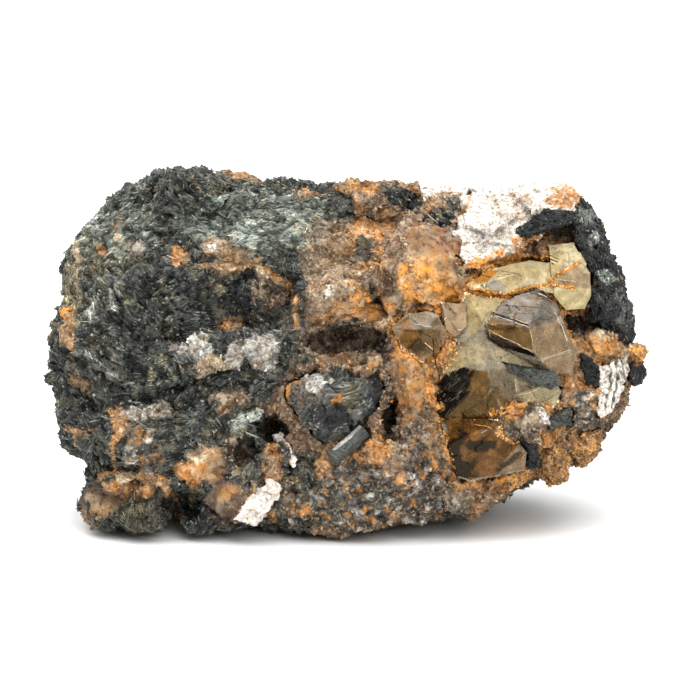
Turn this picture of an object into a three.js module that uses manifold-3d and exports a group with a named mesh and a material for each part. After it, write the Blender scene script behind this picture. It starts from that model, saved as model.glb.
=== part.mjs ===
// Rough titanite: honey and smoky titanite crystals with white feldspar and black-green amphibole,
// grown into one lump of iron-stained amphibole rock. Millimetres, +Z up, resting on its worn base.
//
// The specimen is modelled as its front is looked at: u is millimetres right of the middle, v is
// millimetres above the lowest point of the front, and w is millimetres behind the ring of its
// widest outline, so that a point nearer the viewer has a smaller w. The whole is then leaned back
// by LEAN, which is how far the eye stands above the horizon, and set down on its base.
import * as THREE from "three";
import { ConvexGeometry } from "three/addons/geometries/ConvexGeometry.js";
import { ImprovedNoise } from "three/addons/math/ImprovedNoise.js";
import { mergeVertices } from "three/addons/utils/BufferGeometryUtils.js";
import Module from "manifold-3d";

const wasm = await Module();
wasm.setup();

// Driving dimensions
const LEAN = THREE.MathUtils.degToRad(12);
const BASE_DROP = 1.7; // how far the resting plane lies under the ring at u, v, w = 0
const ORIGIN_U = -0.58; // the origin lies under the middle of the whole specimen's box
const ORIGIN_W = 6.52;
const CENTRE = { u: 0, v: 29 }; // the outline is seen whole from here
const FRONT_DEPTH = 18;
const BACK_DEPTH = 22;
const RING_W = { atBase: -7, atTop: 3, top: 60 }; // the widest outline leans back as it rises
const BOXINESS = 3.2; // 2 is an ellipsoid, more is squarer
const BALL_DETAIL = 14; // splits of the starting ball's edges
const FRONT_SHARE = 0.82; // under 1 draws the ball's points towards the front
const SEAT_GAP = 0.5; // how much each seat in the rock is larger than its crystal, each way
const ROLL = { size: 16, depth: 3.2 }; // slow waves of the surface
// Broken faces: cells of the rock that stand proud or low, and tilt
const CHIPS = { cell: 8.5, depth: 1.5, tilt: 0.42, outlineShare: 0.2, backShare: 1.5 };
const OUTLINE_BLUR = 0.3; // radians over which the outline is evened out away from its ring
const LUMP_CORNERS = 16;

// The outline of the rock alone, anticlockwise from the left foot, as [u, v]
const OUTLINE = [
  [-41.7, 0.7], [-38.3, 0.0], [-33.3, 0.2], [-32.0, 2.5], [-29.5, 3.6], [-25.0, 1.9], [-18.6, 1.7],
  [-14.7, 0.3], [-10.0, 0.3], [-4.7, 2.2], [-2.5, 2.0], [3.0, 0.5], [5.5, 0.8], [9.0, 3.0],
  [14.7, 1.7], [15.8, 2.8], [20.2, 2.9], [22.6, 5.7], [25.1, 6.3], [26.0, 8.4], [31.0, 10.2],
  [37.2, 11.3], [41.0, 14.5], [43.5, 17.5], [46.0, 21.8], [47.3, 25.0], [48.2, 29.5], [45.2, 32.5],
  [43.0, 37.0], [42.0, 43.0], [39.5, 48.5], [38.0, 53.5], [35.5, 56.0], [28.0, 56.0], [20.0, 55.6],
  [13.5, 56.0], [9.5, 57.8], [5.5, 58.2], [0.8, 58.6], [-3.8, 57.4], [-8.3, 58.1], [-12.5, 57.5],
  [-16.7, 58.2], [-19.8, 58.0], [-22.6, 60.3], [-26.0, 60.9], [-28.4, 61.6], [-31.0, 60.0],
  [-33.2, 58.2], [-35.2, 58.5], [-39.6, 56.0],
  [-43.3, 52.5], [-45.2, 50.5], [-46.4, 47.5], [-47.8, 42.8], [-48.2, 35.7], [-49.6, 31.5],
  [-49.6, 27.5], [-47.4, 20.8], [-48.4, 17.0], [-47.0, 13.2], [-43.4, 11.2], [-43.2, 9.0],
  [-45.2, 6.0], [-44.3, 2.3],
];

// Broad swells and hollows of the front: half sizes ru and rv, turn in degrees, rise towards the
// viewer, and flat, the share of the radius that keeps the full rise
const SWELLS = [
  { name: "left bulge", u: -31, v: 33, ru: 15, rv: 11, turn: -10, rise: 2.5, flat: 0.2 },
  { name: "roof slope, left", u: -28, v: 60, ru: 26, rv: 15, turn: -4, rise: -8, flat: 0.1 },
  { name: "roof slope, middle", u: -5, v: 62, ru: 16, rv: 13, turn: 0, rise: -6, flat: 0.1 },
  { name: "shaded hollow", u: -15, v: 40, ru: 9, rv: 5, turn: -8, rise: -4, flat: 0.3 },
  { name: "white patch ridge", u: -20, v: 30, ru: 13, rv: 4, turn: 8, rise: 2.5, flat: 0.2 },
  { name: "long crack", u: -25, v: 22.5, ru: 15, rv: 2.6, turn: 8, rise: -3, flat: 0.3 },
  { name: "waist on the left", u: -46, v: 11, ru: 7, rv: 4, turn: 20, rise: -5, flat: 0.2 },
  { name: "ochre shoulder", u: 6, v: 46, ru: 12, rv: 8, turn: -12, rise: 3, flat: 0.3 },
  { name: "feldspar bay", u: 25, v: 52, ru: 12, rv: 6, turn: 0, rise: -3.5, flat: 0.4 },
  { name: "crystal table", u: 25, v: 27, ru: 13, rv: 14, turn: 0, rise: 1.5, flat: 0.5 },
  { name: "right shoulder", u: 43, v: 42, ru: 8, rv: 14, turn: 12, rise: -4, flat: 0.3 },
  { name: "middle foot", u: 2, v: 7, ru: 12, rv: 6, turn: 0, rise: 1.5, flat: 0.3 },
];

// Lumps joined to the rock, and pits cut into it: centre, half sizes, turn in degrees, and a seed
// for the places of their corners
const LUMPS = [
  { name: "crest, left", at: [-29.4, 55.6, -4], half: [4, 5.4, 9], turn: -30, seed: 3 },
  { name: "crest, right", at: [-24.8, 56.2, -3], half: [5.2, 4, 9], turn: -26, seed: 8 },
  { name: "ochre ledge", at: [-1.5, 40.6, -18], half: [8.8, 4.4, 7], turn: 12, seed: 5 },
  { name: "ochre brow", at: [12.4, 44.6, -15], half: [5.6, 7.6, 6], turn: 38, seed: 21 },
  { name: "ochre column", at: [7.5, 42, -16], half: [3, 9, 6], turn: 6, seed: 34 },
  { name: "ochre crown", at: [2.6, 55.2, -8], half: [6, 3.4, 8], turn: -6, seed: 6 },
  { name: "green crown", at: [8.6, 55.4, -4], half: [4.2, 3.2, 6], turn: -30, seed: 11 },
  { name: "ochre fin", at: [9.9, 26.5, -19], half: [3, 8.2, 6], turn: 8, seed: 17 },
  { name: "fin foot", at: [10.5, 17, -18], half: [4, 5.4, 6], turn: 20, seed: 29 },
  { name: "speckled apron", at: [8.6, 10.6, -16], half: [8.6, 6.4, 6.4], turn: -10, seed: 9 },
  { name: "apron foot", at: [18.2, 6.2, -13], half: [5, 3.6, 7], turn: -12, seed: 12 },
  { name: "ochre tooth", at: [23.4, 7.4, -13], half: [2.2, 3.6, 6], turn: -25, seed: 41 },
  { name: "left foot", at: [-39.4, 4.4, -9], half: [6, 4.6, 8], turn: -8, seed: 14 },
  { name: "left foot, striped", at: [-34.4, 3.2, -13.6], half: [4.6, 3.4, 6.4], turn: 6, seed: 83 },
  { name: "left foot shelf", at: [-37, 8.8, -14.5], half: [5.6, 2.2, 6], turn: 12, seed: 19 },
  { name: "stained rhomb", at: [-24.4, 11, -17], half: [4.4, 3.6, 5.6], turn: -6, seed: 23 },
  { name: "stained plate", at: [-20.4, 6, -15.5], half: [3, 5, 5.6], turn: -24, seed: 27 },
  { name: "black prism", at: [-16.6, 38.8, -18], half: [1.2, 4, 3], turn: 0, seed: 31 },
  { name: "left wall block", at: [-43, 17, -11], half: [4.8, 4.6, 7], turn: 6, seed: 37 },
  { name: "left low block", at: [-33.6, 15.6, -16.6], half: [7.4, 5, 5.8], turn: 10, seed: 43 },
  { name: "white patch block", at: [-20, 30.4, -18.5], half: [10, 3.2, 5], turn: 8, seed: 47 },
  { name: "slanted ledge", at: [-16.4, 21.6, -18], half: [6.2, 2, 5], turn: 32, seed: 53 },
  { name: "middle foot", at: [-2, 6.6, -14], half: [9.6, 5.4, 7.4], turn: 4, seed: 59 },
  { name: "right cluster", at: [42.4, 31, -8], half: [5, 2.8, 7], turn: -8, seed: 61 },
  { name: "stained knob", at: [47.2, 30, -6.5], half: [2.3, 1.5, 5], turn: -30, seed: 89 },
  { name: "right crumbs", at: [37.6, 24.4, -12], half: [4, 4.6, 6], turn: 0, seed: 67 },
  { name: "back knob", at: [-20, 38, 17], half: [12, 9, 7], turn: 20, seed: 71 },
  { name: "back ridge", at: [18, 26, 17], half: [13, 7, 7], turn: -25, seed: 73 },
  { name: "back foot", at: [-6, 15, 14], half: [16, 7, 7], turn: 5, seed: 79 },
];
const PITS = [
  { name: "cave under the ledge", at: [-0.6, 31.4, -21], half: [7.4, 3.2, 9], turn: 6, seed: 2 },
  { name: "dark hole", at: [-13, 17.2, -20], half: [3, 2.8, 9], turn: 30, seed: 4 },
  { name: "brown hollow", at: [-17.2, 13.8, -21], half: [2.6, 3.2, 5], turn: -20, seed: 7 },
  { name: "crevice", at: [6.4, 18.4, -21], half: [1.7, 5.2, 9], turn: -14, seed: 10 },
  { name: "left recess", at: [-28.4, 4.2, -18], half: [4.2, 3.4, 10], turn: 10, seed: 15 },
  { name: "hole right of the crystal", at: [37.8, 34.6, -16], half: [2.2, 2, 8], turn: 0, seed: 18 },
  { name: "nick under the crest", at: [-23, 52.8, -12.4], half: [4.4, 1, 4], turn: -12, seed: 22 },
  { name: "hollow beside the prism", at: [-12.6, 40.2, -20], half: [2.6, 3, 4.6], turn: 0, seed: 26 },
  { name: "notch at the ochre tooth", at: [29, 6, -14], half: [3.4, 3, 9], turn: 0, seed: 30 },
  { name: "arch under the base", at: [-12, 1.6, 7], half: [9, 3.4, 7], turn: 0, seed: 35 },
  { name: "back hollow", at: [2, 44, 22], half: [9, 6, 6], turn: 10, seed: 39 },
];

// Crystals and grains, each with the corners of its front as [u, v, w], the depth of its back, and
// how much the back is drawn in. Parts of one list are grown together into one solid. A piece is
// cut back by those named in under, which grew before it.
const GRAINS = [
  {
    name: "amphibole_rod", finish: "blackAmphibole",
    parts: [{ back: -19.5, taper: 0.8, front: [
      [25.3, 28, -23.2], [27.7, 27.2, -24.6], [31.7, 26.9, -24.4], [34.2, 26.1, -23.4],
      [34.9, 24.8, -22.4], [33.2, 24.1, -23], [30, 25.2, -24.4], [27, 26.5, -24.4]] }],
  },
  {
    name: "titanite_main", finish: "titanite", under: ["amphibole_rod"],
    parts: [
      { back: -12, taper: 0.8, front: [
        [25.7, 38.8, -21], [31, 40.3, -19], [34.3, 38.2, -20], [35.5, 34.8, -22], [37.2, 30.3, -21],
        [36.7, 26.7, -20], [33.5, 26.3, -22], [30.8, 29.6, -26], [29.5, 34, -27], [22.2, 34.8, -24],
        [22.8, 32.3, -24.5]] },
      { back: -8, taper: 0.85, front: [
        [17.8, 31.2, -20], [19.3, 39.6, -18.5], [25.5, 38.8, -19], [22.2, 34.5, -22.5],
        [23.3, 31.2, -23.5], [33.5, 26.2, -21], [35, 23.5, -19.5], [33.8, 20.8, -19.5],
        [28, 20, -21.5], [25, 18.5, -22], [15.2, 19, -19.5], [13.7, 25.7, -19.5],
        [16.2, 28.3, -20.5], [23, 26.7, -23.8]] },
      { back: -9, taper: 0.85, front: [
        [15, 18.8, -20], [24.5, 19, -23.5], [27, 14.7, -22.5], [29.3, 13.3, -20.5],
        [29, 10.2, -19.5], [24.2, 9.7, -21], [20.2, 8.5, -19.5], [17.8, 9, -19],
        [16.3, 14.5, -21.5]] },
    ],
  },
  {
    name: "titanite_upper", finish: "titanite", under: ["titanite_main"],
    parts: [
      { back: -6, taper: 0.8, front: [
        [19.3, 41.4, -17], [23.3, 43.8, -15.5], [29.8, 45.5, -14], [33.5, 45, -15],
        [33.8, 39.7, -18], [30.5, 40.4, -19], [25, 39.6, -19], [19.7, 40.4, -18.5],
        [28.3, 43.2, -18.8]] },
      { back: -5, taper: 0.8, front: [
        [32.8, 48, -13], [37.2, 48.3, -13], [38.4, 45.8, -14.5], [40, 43.2, -15], [40, 39.3, -16],
        [39, 37, -16], [35.7, 36.9, -18], [33.8, 39.3, -18.5], [33.2, 45, -16],
        [36.8, 42.7, -19.2]] },
    ],
  },
  {
    name: "titanite_small", finish: "titanite", under: ["titanite_main", "titanite_upper"],
    parts: [{ back: -12, taper: 0.8, front: [
      [15, 38.2, -20], [19.2, 38, -19.5], [19.3, 34.3, -21], [17.5, 32.5, -21.5],
      [16, 33.8, -21.4]] }],
  },
  {
    name: "titanite_left", finish: "titanite", under: ["titanite_main", "titanite_small"],
    parts: [{ back: -12, taper: 0.8, front: [
      [7, 34, -22.5], [9.5, 36.3, -22], [12.7, 36.8, -21.5], [14.7, 36.2, -21.5],
      [16, 32.5, -22], [14.5, 30, -23], [11.7, 28.3, -23.5], [9.2, 29.5, -23.5],
      [12.5, 33.7, -25.2]] }],
  },
  {
    name: "amphibole_bar", finish: "blackAmphibole", under: ["titanite_upper"],
    parts: [{ back: -9, taper: 0.8, front: [
      [26.8, 49.5, -14.8], [30.5, 52.5, -13.4], [32, 53.7, -12.4], [37.8, 53.2, -12.4],
      [37.8, 51.7, -13.6], [33.8, 50.7, -15.2], [29.2, 49.3, -16]] }],
  },
  {
    name: "feldspar_mass", finish: "feldspar",
    under: ["titanite_upper", "amphibole_bar", "titanite_main"],
    parts: [
      { back: 4, taper: 0.82, front: [
        [10.7, 56.7, -6], [13.5, 57.4, -5], [21.8, 57.4, -4], [28, 57.6, -4], [33, 56.8, -6],
        [35, 53, -9.5], [31.7, 49.2, -14.4], [26.3, 47, -15.4], [21.3, 44, -16],
        [19.3, 44.3, -15.8], [18.4, 48.7, -14.4], [16.2, 51, -12.4], [13.5, 53.5, -9]] },
      { back: 1, taper: 0.86, front: [
        [27, 58.1, -4.6], [34.2, 58.2, -4.4], [37.3, 57.5, -5], [38, 56.2, -6], [37.6, 53, -10],
        [34, 51.4, -13], [30.6, 53.4, -12.4], [27.4, 56, -8.6]] },
      { back: 3, taper: 0.9, front: [
        [18.8, 55.6, -10], [24.4, 56.4, -9], [27.2, 53, -13.4], [23.6, 49.4, -16.2],
        [19.6, 51, -14.6]] },
    ],
  },
  {
    name: "amphibole_rim", finish: "blackAmphibole",
    under: ["feldspar_mass", "titanite_upper", "amphibole_bar"],
    parts: [
      { back: 3, taper: 0.8, front: [
        [38.5, 56, -4], [40.1, 54, -4], [41.9, 51.3, -5], [42.1, 47.8, -7], [43.6, 45.3, -8],
        [44.6, 42.2, -9], [40.6, 42.5, -14], [38.7, 45.2, -14], [38, 49.3, -13],
        [38.4, 52.8, -11]] },
      { back: 2, taper: 0.8, front: [
        [40.5, 45, -13], [43.7, 44.8, -8], [45.8, 40.2, -8], [46.9, 35.5, -9], [46.7, 33.2, -10],
        [44.5, 32.3, -12], [41.8, 34.3, -14.5], [40.5, 35.3, -15], [42.5, 39.5, -15.5]] },
    ],
  },
  {
    name: "amphibole_nodule", finish: "greenAmphibole",
    parts: [{ back: -12, taper: 0.8, front: [
      [-10.3, 25, -22], [-3.3, 27.3, -21.5], [4.8, 26.5, -21.5], [5.7, 23.5, -22],
      [3.3, 18.7, -22], [-0.8, 15.8, -22], [-4.2, 15.2, -21.5], [-8.3, 18.7, -22],
      [-10.8, 22.3, -22], [-6.2, 24.6, -25.6], [1.6, 24.6, -25.8], [-3.4, 18.6, -25],
      [2, 21, -25.4]] }],
  },
  {
    name: "feldspar_chip", finish: "feldspar",
    parts: [{ back: -13, taper: 0.8, front: [
      [-13.5, 8.2, -21], [-11.5, 8, -20.5], [-13, 4.5, -21.5], [-15.5, 1.8, -20.5],
      [-19.2, 2.3, -21.5], [-16.7, 5.5, -22]] }],
  },
  {
    name: "feldspar_sliver", finish: "feldspar",
    parts: [{ back: -14, taper: 0.8, front: [
      [-12.8, 16.2, -18], [-11.8, 16.7, -18], [-9.7, 14, -20], [-8.7, 11.3, -21],
      [-9.3, 10.7, -21], [-10.7, 12.5, -20.4]] }],
  },
  {
    name: "amphibole_block", finish: "blackAmphibole", under: ["titanite_main"],
    parts: [{ back: -10, taper: 0.8, front: [
      [33, 19.3, -19.4], [36.5, 20.8, -18.4], [36.7, 18, -18], [33.2, 17.3, -19]] }],
  },
  {
    name: "amphibole_column", finish: "blackAmphibole", under: ["titanite_main"],
    parts: [{ back: -10, taper: 0.85, front: [
      [26.2, 18.5, -20.6], [30.5, 17.3, -21], [31.2, 11, -19.2], [29.5, 10.6, -19.6],
      [27.3, 14.7, -21]] }],
  },
  {
    name: "banded_slab", finish: "bandedFeldspar",
    parts: [{ back: -2, taper: 0.85, front: [
      [41.8, 27.2, -14.5], [46.2, 30, -10], [46.2, 27, -11], [45, 23, -12], [43.6, 20, -13],
      [41.2, 19.3, -14], [41, 22.7, -15.4]] }],
  },
  {
    name: "amphibole_blade", finish: "blackAmphibole", under: ["banded_slab", "titanite_main"],
    parts: [{ back: -11, taper: 0.75, front: [
      [38.2, 29.8, -17], [40, 28.7, -18], [41.5, 26.8, -17.6], [41, 24.5, -16.6],
      [39.3, 24.7, -17.6], [38.5, 27.7, -18]] }],
  },
  {
    name: "amphibole_lobe_a", finish: "bandedAmphibole", under: ["amphibole_column"],
    parts: [{ back: -4, taper: 0.85, front: [
      [31.9, 14.3, -15], [35, 15.2, -15], [36.3, 12.2, -14.6], [36, 8.8, -13.4],
      [33.8, 8, -13.4], [31.8, 9.3, -13.6], [33.7, 12.8, -17.6]] }],
  },
  {
    name: "amphibole_lobe_b", finish: "bandedAmphibole", under: ["amphibole_lobe_a"],
    parts: [{ back: -1, taper: 0.85, front: [
      [36.4, 16, -15], [41.7, 17, -12], [41.5, 13.5, -11], [40.2, 11.5, -11], [38.3, 11.2, -12],
      [36.9, 13.3, -14], [38.9, 14.5, -16.4]] }],
  },
  {
    name: "amphibole_knob", finish: "blackAmphibole", under: ["banded_slab"],
    parts: [{ back: -1, taper: 0.85, front: [
      [46.9, 28.3, -10], [48.8, 28.5, -8], [49.4, 26.7, -7.4], [48.9, 24.7, -7.6],
      [47.3, 24.3, -9.6], [46.7, 26.3, -10.6]] }],
  },
];

// The loose-standing striated prism: its middle, length, radius, sides and tilts in degrees
const PRISM = {
  name: "striated_prism", at: [-0.3, 14.6, -23.2], length: 7.2, radius: 1.35, sides: 8,
  turn: -48, reach: 12,
};

const FINISHES = {
  rock: new THREE.MeshStandardMaterial({ color: "#5b554a", roughness: 0.85, flatShading: true }),
  titanite: new THREE.MeshStandardMaterial({
    color: "#a08a5c", roughness: 0.2, transparent: true, opacity: 0.75, flatShading: true,
  }),
  feldspar: new THREE.MeshStandardMaterial({ color: "#e6e2dc", roughness: 0.6, flatShading: true }),
  bandedFeldspar: new THREE.MeshStandardMaterial({
    color: "#a7a8a6", roughness: 0.6, flatShading: true,
  }),
  blackAmphibole: new THREE.MeshStandardMaterial({
    color: "#2b302e", roughness: 0.45, flatShading: true,
  }),
  greenAmphibole: new THREE.MeshStandardMaterial({
    color: "#4d534c", roughness: 0.55, flatShading: true,
  }),
  bandedAmphibole: new THREE.MeshStandardMaterial({
    color: "#6d5d40", roughness: 0.7, flatShading: true,
  }),
};

const noise = new ImprovedNoise();
const STEPS = [-1, 0, 1];
const NEIGHBOURS = STEPS.flatMap((i) => STEPS.flatMap((j) => STEPS.map((k) => [i, j, k])));

// A repeatable run of numbers from 0 to 1.
function randomFrom(seed) {
  let state = seed * 7919 + 17;
  return () => {
    state = (state * 16807) % 2147483647;
    return state / 2147483647;
  };
}

// A closed geometry as a manifold solid.
function solidOf(geometry) {
  const bare = geometry.clone();
  bare.deleteAttribute("normal");
  bare.deleteAttribute("uv");
  const merged = mergeVertices(bare, 1e-4);
  return new wasm.Manifold(
    new wasm.Mesh({
      numProp: 3,
      vertProperties: new Float32Array(merged.attributes.position.array),
      triVerts: new Uint32Array(merged.index.array),
    }),
  );
}

// The largest body of a solid, without crumbs that a cut has left.
function largestBody(solid) {
  return solid.decompose().sort((a, b) => b.volume() - a.volume())[0];
}

// A solid as a named mesh.
function meshOf(name, solid, finish) {
  const { vertProperties, triVerts } = largestBody(solid).getMesh();
  const geometry = new THREE.BufferGeometry();
  geometry.setAttribute("position", new THREE.Float32BufferAttribute(vertProperties, 3));
  geometry.setIndex(Array.from(triVerts));
  geometry.computeVertexNormals();
  const mesh = new THREE.Mesh(geometry, finish);
  mesh.name = name;
  return mesh;
}

// A point of the front as a vector: X is u, Z is v and Y is w.
function place([u, v, w]) {
  return new THREE.Vector3(u, w, v);
}

// How far the outline lies from the centre in a direction of the front.
function outlineRadius(angle) {
  const ray = { u: Math.cos(angle), v: Math.sin(angle) };
  let reach = 0;
  OUTLINE.forEach(([u0, v0], i) => {
    const [u1, v1] = OUTLINE[(i + 1) % OUTLINE.length];
    const a = { u: u0 - CENTRE.u, v: v0 - CENTRE.v };
    const side = { u: u1 - u0, v: v1 - v0 };
    const cross = ray.u * side.v - ray.v * side.u;
    if (Math.abs(cross) < 1e-9) return;
    const along = (a.u * side.v - a.v * side.u) / cross;
    const share = (a.u * ray.v - a.v * ray.u) / cross;
    if (along > 0 && share >= 0 && share <= 1) reach = Math.max(reach, along);
  });
  return reach;
}

// The rise of the front towards the viewer at a point, from all the swells.
function swellAt(u, v) {
  let rise = 0;
  for (const swell of SWELLS) {
    const turn = THREE.MathUtils.degToRad(swell.turn);
    const du = u - swell.u;
    const dv = v - swell.v;
    const along = (du * Math.cos(turn) + dv * Math.sin(turn)) / swell.ru;
    const across = (dv * Math.cos(turn) - du * Math.sin(turn)) / swell.rv;
    const fade = THREE.MathUtils.smoothstep(Math.hypot(along, across), swell.flat, 1);
    rise += swell.rise * (1 - fade);
  }
  return rise;
}

// The rock's body: a ball drawn out to the outline, squared, swollen and roughened.
function bodySolid() {
  const ball = new THREE.IcosahedronGeometry(1, BALL_DETAIL);
  const points = ball.attributes.position;
  const at = new THREE.Vector3();
  for (let i = 0; i < points.count; i++) {
    at.fromBufferAttribute(points, i).normalize();
    const angle = Math.atan2(at.z, at.x);
    const toFront = at.y < 0;
    const lift = Math.abs(at.y) ** (toFront ? FRONT_SHARE : 1 / FRONT_SHARE);
    const across = Math.sqrt(Math.max(0, 1 - lift * lift));
    const spread = across ** (2 / BOXINESS);
    const deep = lift ** (2 / BOXINESS);
    const evened = (outlineRadius(angle - OUTLINE_BLUR) + outlineRadius(angle)
      + outlineRadius(angle + OUTLINE_BLUR)) / 3;
    const outline = THREE.MathUtils.lerp(outlineRadius(angle), evened, Math.min(1, deep * 2));
    const radius = outline * spread;
    const u = CENTRE.u + radius * Math.cos(angle);
    const v = CENTRE.v + radius * Math.sin(angle);
    const ring = THREE.MathUtils.lerp(RING_W.atBase, RING_W.atTop, v / RING_W.top);
    let w = ring + deep * (toFront ? -FRONT_DEPTH : BACK_DEPTH);
    if (toFront) w -= swellAt(u, v) * THREE.MathUtils.smoothstep(deep, 0, 0.6);
    const outwards = new THREE.Vector3(
      Math.cos(angle) * spread, toFront ? -deep : deep, Math.sin(angle) * spread,
    ).normalize();
    at.set(u, w, v);
    const share = THREE.MathUtils.lerp(CHIPS.outlineShare, toFront ? 1 : CHIPS.backShare, deep);
    at.addScaledVector(outwards, roughnessAt(at) * share);
    points.setXYZ(i, at.x, at.y, at.z);
  }
  return solidOf(ball);
}

// The chip of the rock that holds a point: its middle, how proud it stands and how it tilts.
function chipAt(point) {
  const cell = point.clone().divideScalar(CHIPS.cell).floor();
  let nearest = null;
  let least = Infinity;
  for (const [i, j, k] of NEIGHBOURS) {
    const corner = cell.clone().add(new THREE.Vector3(i, j, k));
    const random = randomFrom(corner.x * 73 + corner.y * 179 + corner.z * 283 + 9001);
    random();
    const middle = corner
      .add(new THREE.Vector3(random(), random(), random()))
      .multiplyScalar(CHIPS.cell);
    const distance = middle.distanceTo(point);
    if (distance >= least) continue;
    least = distance;
    nearest = {
      middle,
      proud: (random() * 2 - 1) * CHIPS.depth,
      tilt: new THREE.Vector3(random() - 0.5, random() - 0.5, random() - 0.5)
        .multiplyScalar(2 * CHIPS.tilt),
    };
  }
  return nearest;
}

// How far a surface point moves outwards: slow waves, and the chip that it lies in.
function roughnessAt(point) {
  const { size, depth } = ROLL;
  const wave = noise.noise(point.x / size + 3, point.y / size + 5, point.z / size + 7);
  const chip = chipAt(point);
  return wave * depth + chip.proud + chip.tilt.dot(point.clone().sub(chip.middle));
}

// An angular lump: the hull of points spread evenly over a boxy ball, then pushed about.
function lumpSolid({ at, half, turn, seed }) {
  const random = randomFrom(seed);
  const corners = [];
  for (let i = 0; i < LUMP_CORNERS; i++) {
    const height = 1 - (2 * i + 1) / LUMP_CORNERS;
    const angle = i * Math.PI * (3 - Math.sqrt(5)) + random() * 0.9;
    const across = Math.sqrt(1 - height * height);
    const corner = new THREE.Vector3(across * Math.cos(angle), across * Math.sin(angle), height);
    const largest = Math.max(Math.abs(corner.x), Math.abs(corner.y), Math.abs(corner.z));
    corner.multiplyScalar((0.86 + 0.2 * random()) / largest ** 0.55);
    corners.push(new THREE.Vector3(corner.x * half[0], corner.y * half[2], corner.z * half[1]));
  }
  const geometry = new ConvexGeometry(corners);
  geometry.rotateY(-THREE.MathUtils.degToRad(turn));
  geometry.translate(at[0], at[2], at[1]);
  return solidOf(geometry);
}

// The corners of one part of a grain: its front, and its back drawn in towards the middle.
function grainCorners({ front, back, taper }) {
  const middle = front
    .reduce((sum, point) => sum.add(place(point)), new THREE.Vector3())
    .divideScalar(front.length);
  const behind = front.map(([u, v]) => new THREE.Vector3(
    THREE.MathUtils.lerp(middle.x, u, taper), back, THREE.MathUtils.lerp(middle.z, v, taper),
  ));
  return [...front.map(place), ...behind];
}

// A convex solid of corners, grown by a gap each way about the middle of its box.
function hullSolid(corners, gap) {
  const box = new THREE.Box3().setFromPoints(corners);
  const middle = box.getCenter(new THREE.Vector3());
  const half = box.getSize(new THREE.Vector3()).multiplyScalar(0.5);
  const grow = new THREE.Vector3(
    (half.x + gap) / half.x, (half.y + gap) / half.y, (half.z + gap) / half.z,
  );
  return solidOf(new ConvexGeometry(
    corners.map((corner) => corner.clone().sub(middle).multiply(grow).add(middle)),
  ));
}

// All parts of a grain as one solid.
function grainSolid(grain, gap) {
  return grain.parts
    .map((part) => hullSolid(grainCorners(part), gap))
    .reduce((whole, part) => whole.add(part));
}

// The striated prism, or the seat for it, leaning out of the rock.
function prismSolid(gap) {
  const { at, length, radius, sides, turn, reach } = PRISM;
  const prism = new THREE.CylinderGeometry(radius + gap, radius + gap, length + 2 * gap, sides);
  prism.rotateY(Math.PI / sides);
  prism.scale(1, 1, 1.25);
  prism.rotateX(Math.PI / 2 - THREE.MathUtils.degToRad(reach));
  prism.rotateY(-THREE.MathUtils.degToRad(turn));
  prism.translate(at[0], at[2], at[1]);
  return solidOf(prism);
}

// A slab that takes away what lies under the resting plane.
function groundSolid() {
  const size = 300;
  const slab = new THREE.BoxGeometry(size, size, size);
  slab.translate(0, 0, BASE_DROP - size / 2);
  slab.rotateX(LEAN);
  return solidOf(slab);
}

function buildSpecimen() {
  const ground = groundSolid();
  const solids = new Map();
  const seats = new Map();
  for (const grain of GRAINS) {
    let solid = grainSolid(grain, 0);
    for (const name of grain.under ?? []) solid = solid.subtract(seats.get(name));
    solids.set(grain.name, solid);
    seats.set(grain.name, grainSolid(grain, SEAT_GAP));
  }
  const prismSeat = prismSolid(SEAT_GAP);
  const nodule = solids.get("amphibole_nodule");
  solids.set("amphibole_nodule", nodule.subtract(prismSeat));

  let rock = bodySolid();
  for (const lump of LUMPS) rock = rock.add(lumpSolid(lump));
  for (const pit of PITS) rock = rock.subtract(lumpSolid(pit));
  for (const seat of seats.values()) rock = rock.subtract(seat);
  rock = rock.subtract(prismSeat).subtract(ground);

  const leaning = new THREE.Group();
  leaning.add(meshOf("matrix", rock, FINISHES.rock));
  for (const grain of GRAINS) {
    leaning.add(meshOf(grain.name, solids.get(grain.name), FINISHES[grain.finish]));
  }
  leaning.add(meshOf(PRISM.name, prismSolid(0), FINISHES.greenAmphibole));
  leaning.rotation.x = -LEAN;
  leaning.position.set(-ORIGIN_U, -ORIGIN_W, -BASE_DROP);
  const specimen = new THREE.Group();
  specimen.add(leaning);
  return specimen;
}

export default buildSpecimen();
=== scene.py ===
"""Looks of a rough titanite specimen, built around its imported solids.

The specimen is a lump of felted black-green amphibole with rusty crust, in which see-through
honey and smoky titanite, white feldspar and black amphibole have grown. Every surface starts as a
copy of its solid. It is remeshed or split finer, and broken and roughened by formulas, because
Blender's own textures can't be aimed along the needles. Needles and grains are then strewn on it.
"""

from __future__ import annotations

import itertools
import logging
import math
from dataclasses import dataclass, field
from enum import Enum
from typing import Callable

import bmesh
import bpy
import numpy as np
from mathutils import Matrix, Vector
from mathutils.bvhtree import BVHTree


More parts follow.
